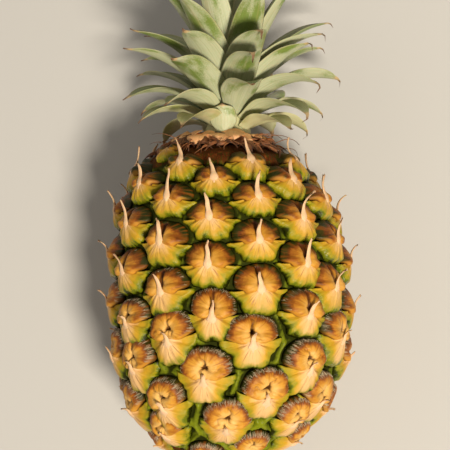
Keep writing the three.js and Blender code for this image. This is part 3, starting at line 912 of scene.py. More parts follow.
def lobe_mark(eye, across, up):
    """A place on the lobes for their colours, 1 at the rim but less at the foot."""
    middle, half, top, foot = lobe_measures(eye)
    rise = up - middle
    return across / half, rise / top if rise > 0 else 0.3 * rise / foot, eye.age


def lobe_dent(eye, across, up, angle, reach):
    """How deep the cleft between the lobes is, and on old eyes the creases and the hole."""
    old = smooth(eye.age, 0.35, 0.9)
    clear = smooth(1 - reach, 0.05, 0.3)
    off_seam = across + 0.05 * waver(up * 4, eye.number)
    seam = mix(*CLEFT_DEPTH, old) * bell(off_seam, mix(0.11, 0.05, old))
    seam *= smooth(up, -0.1, 0.3) * clear
    swing = eye.chance - 0.5 + 0.7 * waver(reach * 3, eye.number * 2.3)
    creases = sum(bell(math.sin((angle - crease - swing) / 2), 0.045 / (reach + 0.12))
                  for crease in CREASES)
    creases = mix(1, creases, smooth(reach, 0, 0.05))
    creases = CREASE_DEPTH * old * smooth(0.9 - reach, 0, 0.4) * creases
    ragged = 0.11 * (1 + 0.5 * waver(3 * math.cos(angle), 3 * math.sin(angle), eye.number))
    return seam + creases + HOLE_DEPTH * old * bell(reach, ragged)


def lobe_lift(eye, across, up, angle, reach):
    """How high the lobes stand over the outer form: domes on young eyes, discs on old ones."""
    lower = smooth(-math.sin(angle), -0.1, 0.4)
    old = smooth(eye.age, 0.35, 0.9)
    fall = mix(*LOBE_FALL, lower) * reach ** mix(mix(2.4, 5.2, old), 14, lower)
    fall += SAUCER_HEIGHT * old * (1 - reach) ** 2
    cheeks = mix(*CHEEK_HEIGHT, old) * bell(abs(across) - 0.38, 0.26) * bell(up - 0.02, 0.3)
    folds = FOLD_HEIGHT * waver(3 * math.cos(angle), 3 * math.sin(angle), eye.number * 3.1 + reach)
    folds *= mix(0.6, 1.0, old) * smooth(reach, 0.1, 0.4)
    uneven = LOBE_UNEVENNESS * waver(across * 4, up * 4, eye.number * 3.1)
    dent = lobe_dent(eye, across, up, angle, reach)
    return MM * (-LOBE_DROP - fall + cheeks - dent + folds + uneven)


def lobe_point(eye, angle, reach, lift=0.0):
    """A point on the lobes, lifted off them if need be."""
    across, up = lobe_place(eye, angle, reach)
    return eye_point(eye, across, up, lobe_lift(eye, across, up, angle, reach) + lift)


def build_lobes(material):
    """The two swollen lobes over each knot, one closed lens for each eye."""
    bm, layers = new_bmesh("lobe", "eye", "dent")
    for eye in whole_eyes():
        # Painted shade: marks the lobes darker towards the crown, for the crown's shadow and the
        # shoulder turning away from the light.
        painted_neck_shade = smooth(eye.along, *PAINTED_NECK_SHADE)

        def place(column, row):
            angle = column * TAU - math.pi / 2
            last = LOBE_ROWS / (LOBE_ROWS + 1)
            reach = row / last
            across, up = lobe_place(eye, angle, min(reach, 1))
            dent = lobe_dent(eye, across, up, angle, reach)
            marks = (lobe_mark(eye, across, up),
                     (eye.chance, reach, smooth(-math.sin(angle), 0.05, 0.35)), (dent, painted_neck_shade, 0.0))
            if row > (1 + last) / 2:
                return eye_point(eye, 0, 0.2, SUNK), *marks
            return lobe_point(eye, angle, reach), *marks

        add_patch(bm, LOBE_COLUMNS, LOBE_ROWS + 1, place, layers)
    finish_piece(bm, "eye_lobes", material, "fruit")


# ---- Bracts ----

BRACT_COLUMNS = 60
BRACT_ROWS = 13
YOUNG_WING = 84 * DEGREE  # from straight down to a wing's tip
OLD_WING = 97 * DEGREE
BRACT_EDGE = ((0, 1.08), (31 * DEGREE, 1.2), (52 * DEGREE, 1.02), (68 * DEGREE, 1.05),
              (84 * DEGREE, 1.24))

# Heights and depths in mm.
BRACT_FALL = (2.6, 3.9)  # from the knot to the lower rim, and to a wing's tip
PLEAT_HEIGHT = 0.8
FINE_PLEAT_HEIGHT = 0.4
KEEL_HEIGHT = 0.5
RIM_WRINKLE = 0.3
RIM_DROP = 2.6
WING_TUCK = 1.7  # under the cheeks of the lobes
BRACT_RISE = 0.1


def bract_reach(eye, angle):
    """How far a bract's edge stands from the knot, by the angle from straight down."""
    down = mix(0.84, 1.0, smooth(eye.number, -12, 4)) + 0.14 * (eye.chance - 0.5)
    wing = smooth(abs(angle), 20 * DEGREE, 60 * DEGREE)
    edge = through(BRACT_EDGE, abs(angle)) * mix(down, 1.0, wing)
    edge *= 1 - 0.05 * smooth(eye.age, 0.2, 0.6)
    return edge * (1 + 0.07 * waver(angle * 3.5, eye.number * 5.3))


def bract_lift(eye, angle, part):
    """How high a bract stands over the outer form, with its pleats and turned-down rim."""
    wing = smooth(abs(angle), 15 * DEGREE, YOUNG_WING)
    fall = mix(*BRACT_FALL, wing) * part ** mix(1.6, 1.8, wing)
    pleats = PLEAT_HEIGHT * waver(angle * 5.5, part * 0.7, eye.number * 2.7)
    pleats += FINE_PLEAT_HEIGHT * waver(angle * 14, part * 1.5, eye.number * 4.9)
    keel = KEEL_HEIGHT * bell(angle, 0.2) * smooth(part, 0.05, 0.25) * smooth(1 - part, 0.1, 0.5)
    wrinkle = RIM_WRINKLE * waver(angle * 24, eye.number * 1.9) * smooth(part, 0.6, 0.9)
    rim = RIM_DROP * smooth(part, 0.8, 1.0) ** 1.6
    tucked = WING_TUCK * smooth(abs(angle), 54 * DEGREE, 80 * DEGREE) * smooth(part, 0.12, 0.32)
    tucked *= 1 - smooth(part, 0.7, 0.95)
    raised = (pleats + keel) * part ** 0.8 * (1 - 0.4 * wing)
    return MM * (BRACT_RISE - fall + raised + wrinkle - rim - tucked)


def build_bracts(material):
    """The pleated bract under each knot, one closed shell for each eye."""
    bm, layers = new_bmesh("bract", "eye")
    for eye in whole_eyes():
        half_angle = mix(YOUNG_WING, OLD_WING, smooth(eye.age, 0.3, 0.8))

        def place(column, row):
            inner_column = (column * (BRACT_COLUMNS + 2) - 1) / BRACT_COLUMNS
            inner_row = row * (BRACT_ROWS + 1) / BRACT_ROWS
            angle = (2 * clamp(inner_column) - 1) * half_angle
            part = clamp(inner_row)
            wing = smooth(abs(angle), 40 * DEGREE, 75 * DEGREE)
            reach = bract_reach(eye, angle) * part
            across, up = reach * math.sin(angle), -reach * math.cos(angle)
            up -= 0.3 * part * (1 - part) * smooth(abs(angle), 50 * DEGREE, YOUNG_WING)
            marks = (across, up, part), (eye.age, eye.chance, wing)
            if inner_row > 1.01 or abs(inner_column - 0.5) > 0.505:
                return eye_point(eye, 0, -0.4, SUNK), *marks
            return eye_point(eye, across, up + 0.04, bract_lift(eye, angle, part)), *marks

        add_patch(bm, BRACT_COLUMNS + 2, BRACT_ROWS + 1, place, layers)
    finish_piece(bm, "bracts", material, "fruit")


# ---- Blades: closed, lens-shaped in section, drawn out along a middle line ----

def add_blade(bm, layers, rows, columns, line, chance=0.5, fray=0.0, extra=()):
    """line(part) gives a blade's cut: its middle, its directions across and out of its face,
    half its width, its thickness and how far its edges stand up. Its mark is across, along
    and chance."""

    def place(column, row):
        turn = column * TAU
        cut = line(row)
        side = math.cos(turn)
        front = math.sin(turn) > 0
        depth = cut.thickness * (1 - 0.85 * side * side) * abs(math.sin(turn)) ** 0.5 / 2
        lift = cut.channel * cut.half * abs(side) ** 1.7 + (depth if front else -depth)
        point = cut.middle + cut.across * (side * cut.half) + cut.face * lift
        if fray:
            torn = waver(side * 2.2, chance * 50) + 0.5 * waver(side * 6, chance * 90)
            point += cut.across.cross(cut.face) * (fray * torn * row ** 3)
        point.z = max(point.z, 0.0)
        return point, (side, row, chance), *[mark(row, front) for mark in extra]

    add_patch(bm, columns, rows, place, layers)


SPINE_ROWS = 16
SPINE_COLUMNS = 10
SPINE_LEAN = 34 * DEGREE
SPINE_CLEARANCE = 2 * MM  # over the ground, for a tip
KNOT_CLEARANCE = 3.5 * MM
SPINE_FOOT = 4.4 * MM  # how far it starts below the knot
SPINE_FRAY = 1.2 * MM
SPINE_HALF = ((0, 0.5), (0.22, 2.3), (0.48, 1.2), (0.75, 0.9), (1, 0.3))  # in mm, foot to tip


def build_spines(settings, material):
    """The dry tip of each bract, which swells out of its fan and ends torn."""
    random = seeded_random(5)
    bm, layers = new_bmesh("blade")
    for number in range(FIRST_EYE, LAST_EYE + 1):
        eye = eye_facts(number)
        size = mix(settings.spine_longest, settings.spine_shortest, eye.age)
        size *= mix(0.75, 1.15, random())
        twist, lean = mix(-0.3, 0.3, random()), SPINE_LEAN * mix(0.7, 1.3, random())
        if not FOOT_AT + 6 * MM < eye.along < NECK_AT - 7 * MM:
            continue
        knot = eye_point(eye, 0, 0, 0)
        up = (eye_point(eye, 0, 0.3, 0) - eye_point(eye, 0, -0.3, 0)).normalized()
        out = Vector((math.sin(eye.angle), 0, math.cos(eye.angle)))
        out = (out - up * out.dot(up)).normalized()
        side = up.cross(out)
        if knot.z + size * math.sin(lean) * out.z < SPINE_CLEARANCE or knot.z < KNOT_CLEARANCE:
            continue
        foot = SPINE_FOOT * eye.growth
        bend = 0.3 * (eye.chance - 0.6)

        def line(row):
            run = mix(-foot, size, row)
            part = clamp(run / size)
            sunk = smooth(-run, 0, foot)
            tilt = lean * part + bend * part ** 3
            middle = knot + up * (run * math.cos(tilt))
            middle += out * (run * math.sin(tilt) * (part > 0) + mix(0.15, -0.75, sunk) * MM)
            middle += side * (-twist * run * part + 1.1 * MM * part * waver(row * 3, number * 7.7))
            half = through(SPINE_HALF, row) * MM * mix(eye.growth, 1, part)
            thickness = MM * mix(mix(1.8, 1.0, smooth(part, 0, 0.5)), 0.9, sunk)
            roll = Matrix.Rotation(2.4 * part * (eye.chance - 0.5), 3, up)
            return Cut(middle, roll @ side, roll @ out, half, thickness, 0.25 * part)

        add_blade(bm, layers, SPINE_ROWS, SPINE_COLUMNS, line, eye.chance, SPINE_FRAY)
    finish_piece(bm, "bract_spines", material, "fruit")


HAIRS_PER_EYE = 110
HAIR_ROWS = 3
HAIR_COLUMNS = 4
HAIR_LIFT = 0.12 * MM
HAIR_THICKNESS = 0.16 * MM
HAIR_CLEARANCE = 6 * MM  # over the ground


def build_hairs(material):
    """Short dry hairs that lie across the rim of the lobes, more of them on the older eyes."""
    random = seeded_random(41)
    bm, _ = new_bmesh("blade")
    for eye in whole_eyes():
        part, layers = new_bmesh("blade")
        for _ in range(HAIRS_PER_EYE):
            turn = mix(-12, 192, random()) * DEGREE
            start, size = mix(0.78, 0.9, random()), mix(0.05, 0.11, random())
            bend, width, keep = mix(-0.06, 0.06, random()), mix(0.05, 0.1, random()), random()
            if keep > smooth(eye.age, 0.3, 0.9) or lobe_point(eye, turn, 0.8).z < HAIR_CLEARANCE:
                continue
            points = [lobe_point(eye, turn + bend * part, start + size * part, HAIR_LIFT)
                      for part in (0, 0.5, 1)]
            run = (points[2] - points[0]).normalized()
            face = (lobe_point(eye, turn, start, MM) - lobe_point(eye, turn, start)).normalized()
            across = run.cross(face).normalized()

            def line(row):
                low = min(int(row * 2), 1)
                middle = points[low].lerp(points[low + 1], row * 2 - low)
                half = max(width * (1 - row ** 2), 0.02) * MM
                return Cut(middle, across, face, half, HAIR_THICKNESS)

            add_blade(part, layers, HAIR_ROWS, HAIR_COLUMNS, line, eye.chance)
        gather(bm, part)
    finish_piece(bm, "rim_hairs", material, "fruit")


# ---- The crown ----

def crown_axis(along):
    """A point in the middle of the crown, which leans a little to one side."""
    up = along - CROWN_AT
    x = axis_x(CROWN_AT) + CROWN_X + up * CROWN_LEAN
    return Vector((x, along - MID_ALONG, AXIS_HEIGHT))


def leaf_outline(part, blunt):
    """Broad at the foot, broadest past a third of its length and drawn out to a point."""
    body = mix(0.55, 1, smooth(part, 0, 0.4))
    return max(body * (1 - part ** blunt) ** 0.75, 0.05)


def curling_line(foot, angle, size, tilt, lead=0.1, heading=1, steps=60):
    """A blade's middle line: it starts at tilt[0] from the axis and curls out to tilt[1]."""
    out = Vector((math.sin(angle), 0, math.cos(angle)))
    axis = Vector((0, heading, 0))
    places, runs = [foot.copy()], []
    for step in range(steps + 1):
        lean = mix(tilt[0], tilt[1], min((step + 0.5) / steps + lead, 1.0) ** 1.5)
        runs.append(axis * math.cos(lean) + out * math.sin(lean))
        places.append(places[-1] + runs[-1] * (size / steps))
    inwards = [axis * run.dot(out) - out * run.dot(axis) for run in runs]
    side = out.cross(axis) * -1

    def at(part):
        spot = clamp(part) * steps
        low = min(int(spot), steps - 1)
        share = spot - low
        return (places[low].lerp(places[low + 1], share),
                runs[low].lerp(runs[low + 1], share).normalized(),
                inwards[low].lerp(inwards[low + 1], share).normalized(), side)

    return at


LEAF_ROWS = 30
LEAF_COLUMNS = 18
LOWEST_SIZE, MIDDLE_SIZE = 30, 53  # in mm
HEART_GROWTH, TOP_LOSS = 17, 6
LOWEST_TILT, MIDDLE_TILT, HEART_TILT = (62, 138), (34, 84), (3, 9)  # at its foot and its tip
LEAF_BLUNT = 4.5
LEAF_SUNK = 1.5 * MM  # how deep its foot stands in the stem
RUFFLE = 0.25 * MM
THINNEST_LEAF = 0.5 * MM
TIP_SHARE = 0.07  # of a leaf's length, dried to a narrow tail
SHORT_LEAF = {  # it stands at the front
    "number": 5, "along": 77 * MM, "angle": 5 * DEGREE, "radius": 16 * MM, "size": 14 * MM,
    "tilt": (4 * DEGREE, 30 * DEGREE), "width": 0.72, "tip": 0.4, "twist": 0.3, "blunt": 9,
    "rank": 0.2,
}


def build_crown(settings, material):
    """The crown's leaves, short and curled down at the foot, long and upright at the heart."""
    random = seeded_random(11)
    bm, layers = new_bmesh("blade", "leaf")

    def jitter(size):
        return (random() - 0.5) * 2 * size

    for number in range(LEAF_COUNT):
        rank = number / (LEAF_COUNT - 1)
        along = CROWN_AT + FIRST_LEAF_RISE + LEAF_RISE * number
        angle = FIRST_LEAF_TURN + LEAF_TURN * number + jitter(5) * DEGREE
        young = smooth(rank, 0.55, 1)
        size = mix(LOWEST_SIZE, MIDDLE_SIZE, smooth(rank, -0.1, 0.4))
        size = size + HEART_GROWTH * smooth(rank, 0.5, 0.85)
        size = (size - TOP_LOSS * smooth(rank, 0.85, 1)) * (1 + jitter(0.06)) * MM
        start = mix(LOWEST_TILT[0], MIDDLE_TILT[0], smooth(rank, 0, 0.6))
        start = mix(start, HEART_TILT[0], young) * DEGREE
        end = mix(LOWEST_TILT[1], MIDDLE_TILT[1], smooth(rank, 0, 0.55))
        end = mix(end, HEART_TILT[1], young) * DEGREE + jitter(12) * DEGREE
        down = smooth(-math.cos(angle), 0.5, 1)
        size *= 1 - 0.09 * down
        end -= 0.12 * down * end
        stem = mix(CROWN_STEM["foot"], CROWN_STEM["tip"], LEAF_RISE * number / CROWN_STEM["length"])
        foot = crown_axis(along)
        foot.x += math.sin(angle) * (stem - LEAF_SUNK)
        foot.z += math.cos(angle) * (stem - LEAF_SUNK)
        width = settings.leaf_width * mix(1, 0.62, young) * (1 + jitter(0.08))
        twist = jitter(0.35)
        chance = number * 0.618 % 1
        tip = mix(2.5, 4.5, chance) * MM
        short = number == SHORT_LEAF["number"]
        if short:
            angle, size, (start, end) = SHORT_LEAF["angle"], SHORT_LEAF["size"], SHORT_LEAF["tilt"]
            foot = crown_axis(SHORT_LEAF["along"])
            foot.x += math.sin(angle) * SHORT_LEAF["radius"]
            foot.z += math.cos(angle) * SHORT_LEAF["radius"]
            width *= SHORT_LEAF["width"]
            tip *= SHORT_LEAF["tip"]
            twist *= SHORT_LEAF["twist"]
        at = curling_line(foot, angle, size, (start, end))

        def line(row):
            part = clamp(row / (1 - TIP_SHARE))
            tail = clamp((row - 1 + TIP_SHARE) / TIP_SHARE)
            middle, run, inward, side = at(part * (1 - tip / size))
            curl = mix(-0.5, 1.6, chance) * tail
            away = run * math.cos(curl) - inward * math.sin(curl)
            across = Matrix.Rotation(twist * part, 3, run) @ side
            face = run.cross(across).normalized()
            if face.dot(inward) < 0:
                face.negate()
            blunt = SHORT_LEAF["blunt"] if short else LEAF_BLUNT
            half = width / 2 * leaf_outline(part, blunt) if part < 1 else 0.0
            half = max(half, mix(1.3, 0.15, tail) * MM)
            ruffle = RUFFLE * waver(part * 5, number * 3.7)
            thickness = max(settings.leaf_thickness * (1 - 0.7 * part), THINNEST_LEAF)
            return Cut(middle + away * (tip * tail) + face * ruffle, across, face, half, thickness,
                       settings.channel)

        def leaf_mark(row, front):
            return (max(rank, SHORT_LEAF["rank"] * short), 0.0 if front else 1.0,
                    smooth(row, 0.88, 1.0))

        add_blade(bm, layers, LEAF_ROWS, LEAF_COLUMNS, line, chance, extra=[leaf_mark])
    finish_piece(bm, "crown_blades", material, "crown_leaves")


STEM_COLUMNS = 24
STEM_ROWS = 20
STEM_END = 0.1  # the share of the rows that closes each end


def build_stem(material):
    """The short stem that the crown's leaves stand on."""
    bm, layers = new_bmesh("blade", "leaf")

    def place(column, row):
        turn, part = column * TAU, clamp((row - STEM_END) / (1 - 2 * STEM_END))
        along = CROWN_AT + CROWN_STEM["length"] * part
        closing = min(row / STEM_END, (1 - row) / STEM_END, 1)
        radius = mix(CROWN_STEM["foot"], CROWN_STEM["tip"], part) * closing
        centre = crown_axis(along)
        point = centre + Vector((math.sin(turn), 0, math.cos(turn))) * radius
        return point, (math.sin(turn) * 0.5, part, 0.5), (0.0, 1.0, 0.0)

    add_patch(bm, STEM_COLUMNS, STEM_ROWS, place, layers)
    finish_piece(bm, "crown_stem", material, "crown_leaves")


# ---- The dry collar ----

RING_COLUMNS = 160
RING_ROWS = 30
RING_INSET = 2.5 * MM  # from the outer form over the eyes
RING_WAVER = 1.6 * MM


def build_collar_ring(material):
    """The felted ring of old leaf bases round the crown's foot."""
    bm, layers = new_bmesh("blade")
    rim = outer_radius(COLLAR_LOW) - RING_INSET
    # Radius and place along, from the middle of the underside round the rim to the top.
    stops = [(0.0, NECK_AT), (outer_radius(NECK_AT), NECK_AT - 0.5 * MM), (rim, COLLAR_LOW),
             (rim - 0.5 * MM, COLLAR_LOW + 1.5 * MM), (rim - 4 * MM, COLLAR_LOW + 4 * MM),
             (rim - 1.4 * COLLAR_SLOPE, COLLAR_LOW + 6.5 * MM), (2 * COLLAR_SLOPE, COLLAR_HIGH),
             (0.0, COLLAR_HIGH)]

    def place(column, row):
        turn = column * TAU
        spot = row * (len(stops) - 1)
        low = min(int(spot), len(stops) - 2)
        radius, along = (mix(start, end, spot - low)
                         for start, end in zip(stops[low], stops[low + 1]))
        fringe = waver(math.sin(turn) * 9, math.cos(turn) * 9, row * 2)
        radius *= 1 + 0.08 * fringe
        torn = RING_WAVER * waver(math.sin(turn) * 7, math.cos(turn) * 7, 9)
        along += torn * bell(row - 0.35, 0.2) * smooth(row, 0, 0.2)
        centre = body_point(along, 0, 0)
        centre.x = axis_x(NECK_AT) + 0.25 * CROWN_X
        point = centre + Vector((math.sin(turn), 0, math.cos(turn))) * radius
        return point, (fringe * 3, mix(0.6, 1.0, abs(math.sin(turn * 5))), abs(fringe))

    add_patch(bm, RING_COLUMNS, RING_ROWS, place, layers)
    finish_piece(bm, "collar_ring", material, "dry_collar")


# Lengths in mm and angles in degrees. A measure is drawn from a pair and taken from a number.
# along and radius go from the first row to the last, and shrink is the last row's share.
DRY_BLADES = {
    "collar_scales": {  # broad, pale leaf bases that hug the collar and hang over its edge
        "count": 27, "seed": 23, "heading": 1, "from": 0.0, "along": (78.8, 74.6),
        "radius": (16.8, 22.5), "shift": 0.4, "shrink": 0.7, "size": (0.55, 1.2),
        "tilt": (95, 130), "curl": (130, 180), "skew": (-0.6, 0.6), "twist": (-0.7, 0.7),
        "wave": (-0.05, 0.05), "half": (2.5, 9), "blunt": (3, 9), "channel": (-0.45, 0.0),
        "thickness": 0.9, "fray": 3.6, "rows": 14, "columns": 20,
    },
    "collar_shreds": {  # dry leaflets that hang out over the shoulder and curl
        "count": 130, "seed": 29, "heading": 1, "from": 0.0, "along": (73.8, 69.8),
        "radius": (23.5, 27), "shift": 0.3, "shrink": 1, "size": (0.35, 1.0),
        "tilt": (85, 125), "curl": (120, 178), "skew": (-0.9, 0.9), "twist": (-2.2, 2.2),
        "wave": (-0.16, 0.16), "half": (0.4, 1.9), "blunt": (1.2, 3), "channel": (-0.6, 0.6),
        "thickness": 0.4, "fray": 2, "rows": 12, "columns": 6,
    },
    "collar_threads": {  # thin fibres that have sprung away from the collar
        "count": 60, "seed": 31, "heading": 1, "from": 0.0, "along": (76, 69.5),
        "radius": (20, 28.5), "shift": 0.3, "shrink": 1, "size": (0.4, 1.1),
        "tilt": (50, 115), "curl": (80, 260), "skew": (-1.4, 1.4), "twist": 1.0,
        "wave": (-0.25, 0.25), "half": (0.12, 0.3), "blunt": 2, "channel": 0.0,
        "thickness": 0.35, "fray": 0.0, "rows": 14, "columns": 4,
    },
    "stalk_sheath": {  # small dry bracts that lie back over the fruit's end from the stalk
        "count": 24, "seed": 37, "heading": -1, "from": FOOT_AT, "along": (0.4, -2.4),
        "radius": (12, 9.5), "shift": 0.0, "shrink": 1, "size": (3.5, 10),
        "tilt": (62, 88), "curl": (88, 128), "skew": (-0.5, 0.5), "twist": (-0.9, 0.9),
        "wave": (-0.1, 0.1), "half": (1.3, 3.4), "blunt": (1.4, 4), "channel": (-0.4, 0.3),
        "thickness": 0.6, "fray": 2.4, "rows": 12, "columns": 12,
    },
}


def build_dry_blades(name, full_size, material, node, slot):
    """A kind of dry blade, all round the collar or the stalk."""
    kind = DRY_BLADES[name]
    random = seeded_random(kind["seed"])
    bm, layers = new_bmesh("blade")

    def pick(measure):
        span = kind[measure]
        return mix(*span, random()) if isinstance(span, tuple) else span

    for number in range(kind["count"]):
        angle = (number + mix(-0.4, 0.4, random())) * TAU / kind["count"]
        level = random()
        along = kind["from"] + mix(*kind["along"], level) * MM
        size = full_size * pick("size") * mix(1, kind["shrink"], level)
        tilt = pick("tilt") * DEGREE, pick("curl") * DEGREE
        skew, twist, wave, width = pick("skew"), pick("twist"), pick("wave"), pick("half") * MM
        blunt, channel, chance = pick("blunt"), pick("channel"), random()
        centre = body_point(along, 0, 0)
        centre.x = axis_x(along) + kind["shift"] * CROWN_X
        outwards = Vector((math.sin(angle), 0, math.cos(angle)))
        foot = centre + outwards * (mix(*kind["radius"], level) * MM)
        at = curling_line(foot, angle + skew, size, tilt, 0.0, kind["heading"])

        def line(row):
            middle, run, _, side = at(row)
            middle = middle + side * (wave * math.sin(row * 4) * size)
            across = Matrix.Rotation(twist * row, 3, run) @ side
            face = run.cross(across).normalized()
            half = width * max((1 - row ** blunt) ** 0.8, 0.04)
            return Cut(middle, across, face, half, kind["thickness"] * MM, channel)

        add_blade(bm, layers, kind["rows"], kind["columns"], line, chance, kind["fray"] * MM)
    finish_piece(bm, name, material, node)


# ---- The cut stalk ----

STALK_COLUMNS = 72
STALK_ROWS = 32
STALK_BACK = 0.25  # the share of the rows that closes the back
STALK_FACE = 0.62  # where the cut face's rows start
DISH = 0.5 * MM


def build_stalk(settings, material):
    """The stub of the stalk, with its rough side and the cut face."""
    bm, layers = new_bmesh("stalk")
    foot = body_point(FOOT_AT - 0.3 * MM, 0, 0)

    def place(column, row):
        turn = column * TAU
        back = min(row / STALK_BACK, 1.0)
        down = smooth(row, STALK_BACK, STALK_FACE)
        face = clamp((row - STALK_FACE) / (1 - STALK_FACE))
        radius = STALK_RADIUS * back * (1 - face)
        side = back * (1 - smooth(face, 0.0, 0.12))
        rough = settings.roughness * waver(math.sin(turn) * 4, math.cos(turn) * 4, row * 3)
        radius = max(radius + rough * side, 0.0) if radius else 0.0
        dish = DISH * face * (1 - face)
        dish += 0.3 * MM * waver(radius / (2 * MM), turn) * face * (1 - face)
        along = -STALK_LENGTH * down + dish
        point = foot + Vector((math.sin(turn) * radius, along, math.cos(turn) * radius))
        return point, (side * smooth(down, 0, 0.1), radius / STALK_RADIUS, 0.0)

    add_patch(bm, STALK_COLUMNS, STALK_ROWS, place, layers)
    finish_piece(bm, "stalk_end", material, "cut_stalk")


# ---- The stage ----

CAMERA_TARGET = (-2.4 * MM, 33.7 * MM)  # across and along, in the camera's own frame
CAMERA_TIP = 12 * DEGREE  # the camera stands to the +X side of straight up
CAMERA_DROP = 4.83 * DEGREE  # and a little towards the stalk
CAMERA_ROLL = -0.74 * DEGREE
SENSOR_WIDTH = 36.0  # in mm, as Blender counts it
CLIP_END = 20.0
FLOOR_HALF = 3.0
LIT_PLACE = (0.0, -0.01, 0.05)  # where the lights point
KEY_LIGHT = {"place": (0.74, -0.68, 1.6), "width": 0.36, "tint": (1.0, 0.92, 0.8)}
FILL_LIGHT = {"place": (-0.8, 0.5, 0.8), "width": 1.0, "tint": (1.0, 0.93, 0.84)}
SKY_TINT = (1.0, 0.94, 0.86, 1.0)


def camera_frame():
    """The camera's target and its right, up and back directions."""
    tip = Matrix.Rotation(CAMERA_TIP, 3, "Y")
    back = Vector((0, -math.sin(CAMERA_DROP), math.cos(CAMERA_DROP)))
    right = Vector((1, 0, 0))
    up = back.cross(right)
    roll = Matrix.Rotation(CAMERA_ROLL, 3, back)
    across, along = CAMERA_TARGET
    target = Vector((AXIS_X, -MID_ALONG, AXIS_HEIGHT)) + tip @ Vector((across, along, 0))
    return target, tip @ (roll @ right), tip @ (roll @ up), tip @ back


def add_area_light(name, watts, place, width, tint):
    """A round soft light that points at the fruit."""
    light = bpy.data.lights.new(name, "AREA")
    light.energy = watts
    light.shape = "DISK"
    light.size = width
    light.color = tint
    lamp = bpy.data.objects.new(name, light)
    lamp.location = place
    lamp.rotation_euler = (Vector(LIT_PLACE) - Vector(place)).to_track_quat("-Z", "Y").to_euler()
    bpy.context.scene.collection.objects.link(lamp)


def build_floor(settings):
    """A plain floor at the resting surface, with a hardly visible change of tone."""
    bm = bmesh.new()
    bmesh.ops.create_grid(bm, x_segments=1, y_segments=1, size=FLOOR_HALF)
    mesh = bpy.data.meshes.new("floor")
    bm.to_mesh(mesh)
    bm.free()
    material, graph, shader = new_material("Floor", 0.6)
    dimmer = [channel * 0.96 for channel in settings.floor]
    tint = graph.mix(graph.noise(graph.place(), 3.0), settings.floor, dimmer)
    graph.feed(shader["Base Color"], tint)
    mesh.materials.append(material)
    floor = bpy.data.objects.new("floor", mesh)
    bpy.context.scene.collection.objects.link(floor)


def build_stage(settings):
    """The floor, the camera, two lights and the light from all round."""
    build_floor(settings)
    scene = bpy.context.scene
    target, right, up, back = camera_frame()
    camera = bpy.data.cameras.new("camera")
    camera.lens = settings.lens
    camera.sensor_width = SENSOR_WIDTH
    camera.clip_end = CLIP_END
    holder = bpy.data.objects.new("camera", camera)
    turn = Matrix((right, up, back)).transposed()
    holder.matrix_world = Matrix.Translation(target + back * settings.distance) @ turn.to_4x4()
    scene.collection.objects.link(holder)
    scene.camera = holder

    add_area_light("key", settings.key, **KEY_LIGHT)
    add_area_light("fill", settings.fill, **FILL_LIGHT)
    world = bpy.data.worlds.new("world")
    world.use_nodes = True
    sky = world.node_tree.nodes["Background"].inputs
    sky["Color"].default_value = SKY_TINT
    sky["Strength"].default_value = settings.sky
    scene.world = world
    scene.view_settings.view_transform = "Standard"


# ---- Operators ----

def build_groups():
    """The node groups that several materials share, made once."""
    if "Fibres" not in bpy.data.node_groups:
        build_fan_group()
        build_fibre_group()
        build_mottle_group()


class PINEAPPLE_OT_rind(bpy.types.Operator):
    """Build the green skin between the eyes"""
    bl_idname = "pineapple.rind"
    bl_label = "Rind"

    def execute(self, context):
        build_groups()
        settings = context.scene.pineapple_rind
        build_rind(settings, valley_material(settings))
        return {"FINISHED"}


class PINEAPPLE_OT_lobes(bpy.types.Operator):
    """Build the lobes of every eye"""
    bl_idname = "pineapple.lobes"
    bl_label = "Eye lobes"

    def execute(self, context):
        build_groups()
        build_lobes(lobe_material(context.scene.pineapple_rind))
        return {"FINISHED"}


class PINEAPPLE_OT_bracts(bpy.types.Operator):
    """Build the bract of every eye"""
    bl_idname = "pineapple.bracts"
    bl_label = "Bracts"

    def execute(self, context):
        build_groups()
        build_bracts(bract_material(context.scene.pineapple_rind))
        return {"FINISHED"}


class PINEAPPLE_OT_spines(bpy.types.Operator):
    """Build the bracts' dry tips and the hairs on the lobes' rims"""
    bl_idname = "pineapple.spines"
    bl_label = "Spines and hairs"

    def execute(self, context):
        build_groups()
        settings = context.scene.pineapple_rind
        dry = papery_material("Dry spines", settings.spine, settings.spine_tip, 0.95)
        build_spines(settings, dry)
        build_hairs(papery_material("Rim hairs", settings.papery, settings.spine, 1.0))
        return {"FINISHED"}


class PINEAPPLE_OT_crown(bpy.types.Operator):
    """Build the crown's leaves and their stem"""
    bl_idname = "pineapple.crown"
    bl_label = "Crown"

    def execute(self, context):
        build_groups()
        settings = context.scene.pineapple_crown
        material = leaf_material(settings)
        build_crown(settings, material)
        build_stem(material)
        return {"FINISHED"}


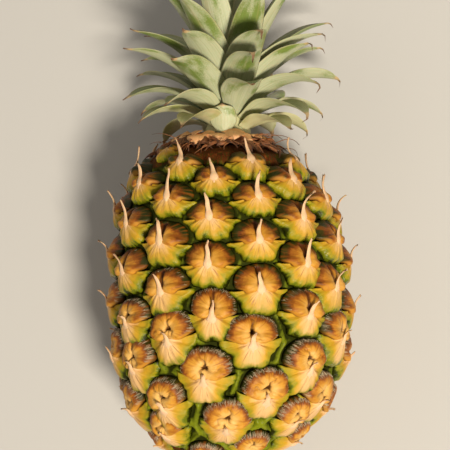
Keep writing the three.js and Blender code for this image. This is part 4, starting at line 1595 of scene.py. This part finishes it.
class PINEAPPLE_OT_collar(bpy.types.Operator):
    """Build the dry collar under the crown"""
    bl_idname = "pineapple.collar"
    bl_label = "Dry collar"

    def execute(self, context):
        build_groups()
        settings = context.scene.pineapple_collar
        brown = papery_material("Dry shreds", settings.shred_pale, settings.shred_dark, 0.6)
        pale = papery_material("Dry scales", settings.scale_pale, settings.scale_dark, 1.1)
        build_collar_ring(brown)
        collar = ("dry_collar", "dry_leaf")
        build_dry_blades("collar_scales", settings.scale_length, pale, *collar)
        build_dry_blades("collar_shreds", settings.shred_length, brown, *collar)
        build_dry_blades("collar_threads", settings.thread_length, brown, *collar)
        return {"FINISHED"}


class PINEAPPLE_OT_stalk(bpy.types.Operator):
    """Build the cut end of the stalk"""
    bl_idname = "pineapple.stalk"
    bl_label = "Cut stalk"

    def execute(self, context):
        build_groups()
        settings = context.scene.pineapple_stalk
        build_stalk(settings, stalk_material(settings))
        dry = papery_material("Stalk sheath", settings.sheath, settings.bark, 0.8)
        build_dry_blades("stalk_sheath", MM, dry, "cut_stalk", "stalk")
        return {"FINISHED"}


class PINEAPPLE_OT_stage(bpy.types.Operator):
    """Build the floor, the lights and the camera"""
    bl_idname = "pineapple.stage"
    bl_label = "Stage"

    def execute(self, context):
        build_stage(context.scene.pineapple_stage)
        return {"FINISHED"}


PIECES = (PINEAPPLE_OT_rind, PINEAPPLE_OT_lobes, PINEAPPLE_OT_bracts, PINEAPPLE_OT_spines,
          PINEAPPLE_OT_crown, PINEAPPLE_OT_collar, PINEAPPLE_OT_stalk, PINEAPPLE_OT_stage)


class PINEAPPLE_PT_panel(bpy.types.Panel):
    """Lists the pineapple's pieces"""
    bl_idname = "PINEAPPLE_PT_panel"
    bl_label = "Pineapple"
    bl_space_type = "VIEW_3D"
    bl_region_type = "UI"
    bl_category = "Pineapple"

    def draw(self, context):
        for piece in PIECES:
            self.layout.operator(piece.bl_idname)


SETTINGS = {"pineapple_rind": RindSettings, "pineapple_crown": CrownSettings,
            "pineapple_collar": CollarSettings, "pineapple_stalk": StalkSettings,
            "pineapple_stage": StageSettings}


def register():
    for group in (*SETTINGS.values(), *PIECES, PINEAPPLE_PT_panel):
        bpy.utils.register_class(group)
    for name, group in SETTINGS.items():
        setattr(bpy.types.Scene, name, bpy.props.PointerProperty(type=group))


def unregister():
    for name in SETTINGS:
        delattr(bpy.types.Scene, name)
    for group in (PINEAPPLE_PT_panel, *reversed(PIECES), *SETTINGS.values()):
        bpy.utils.unregister_class(group)


def main():
    register()
    for piece in PIECES:
        getattr(bpy.ops.pineapple, piece.bl_idname.split(".")[1])()


if __name__ == "__main__":
    main()
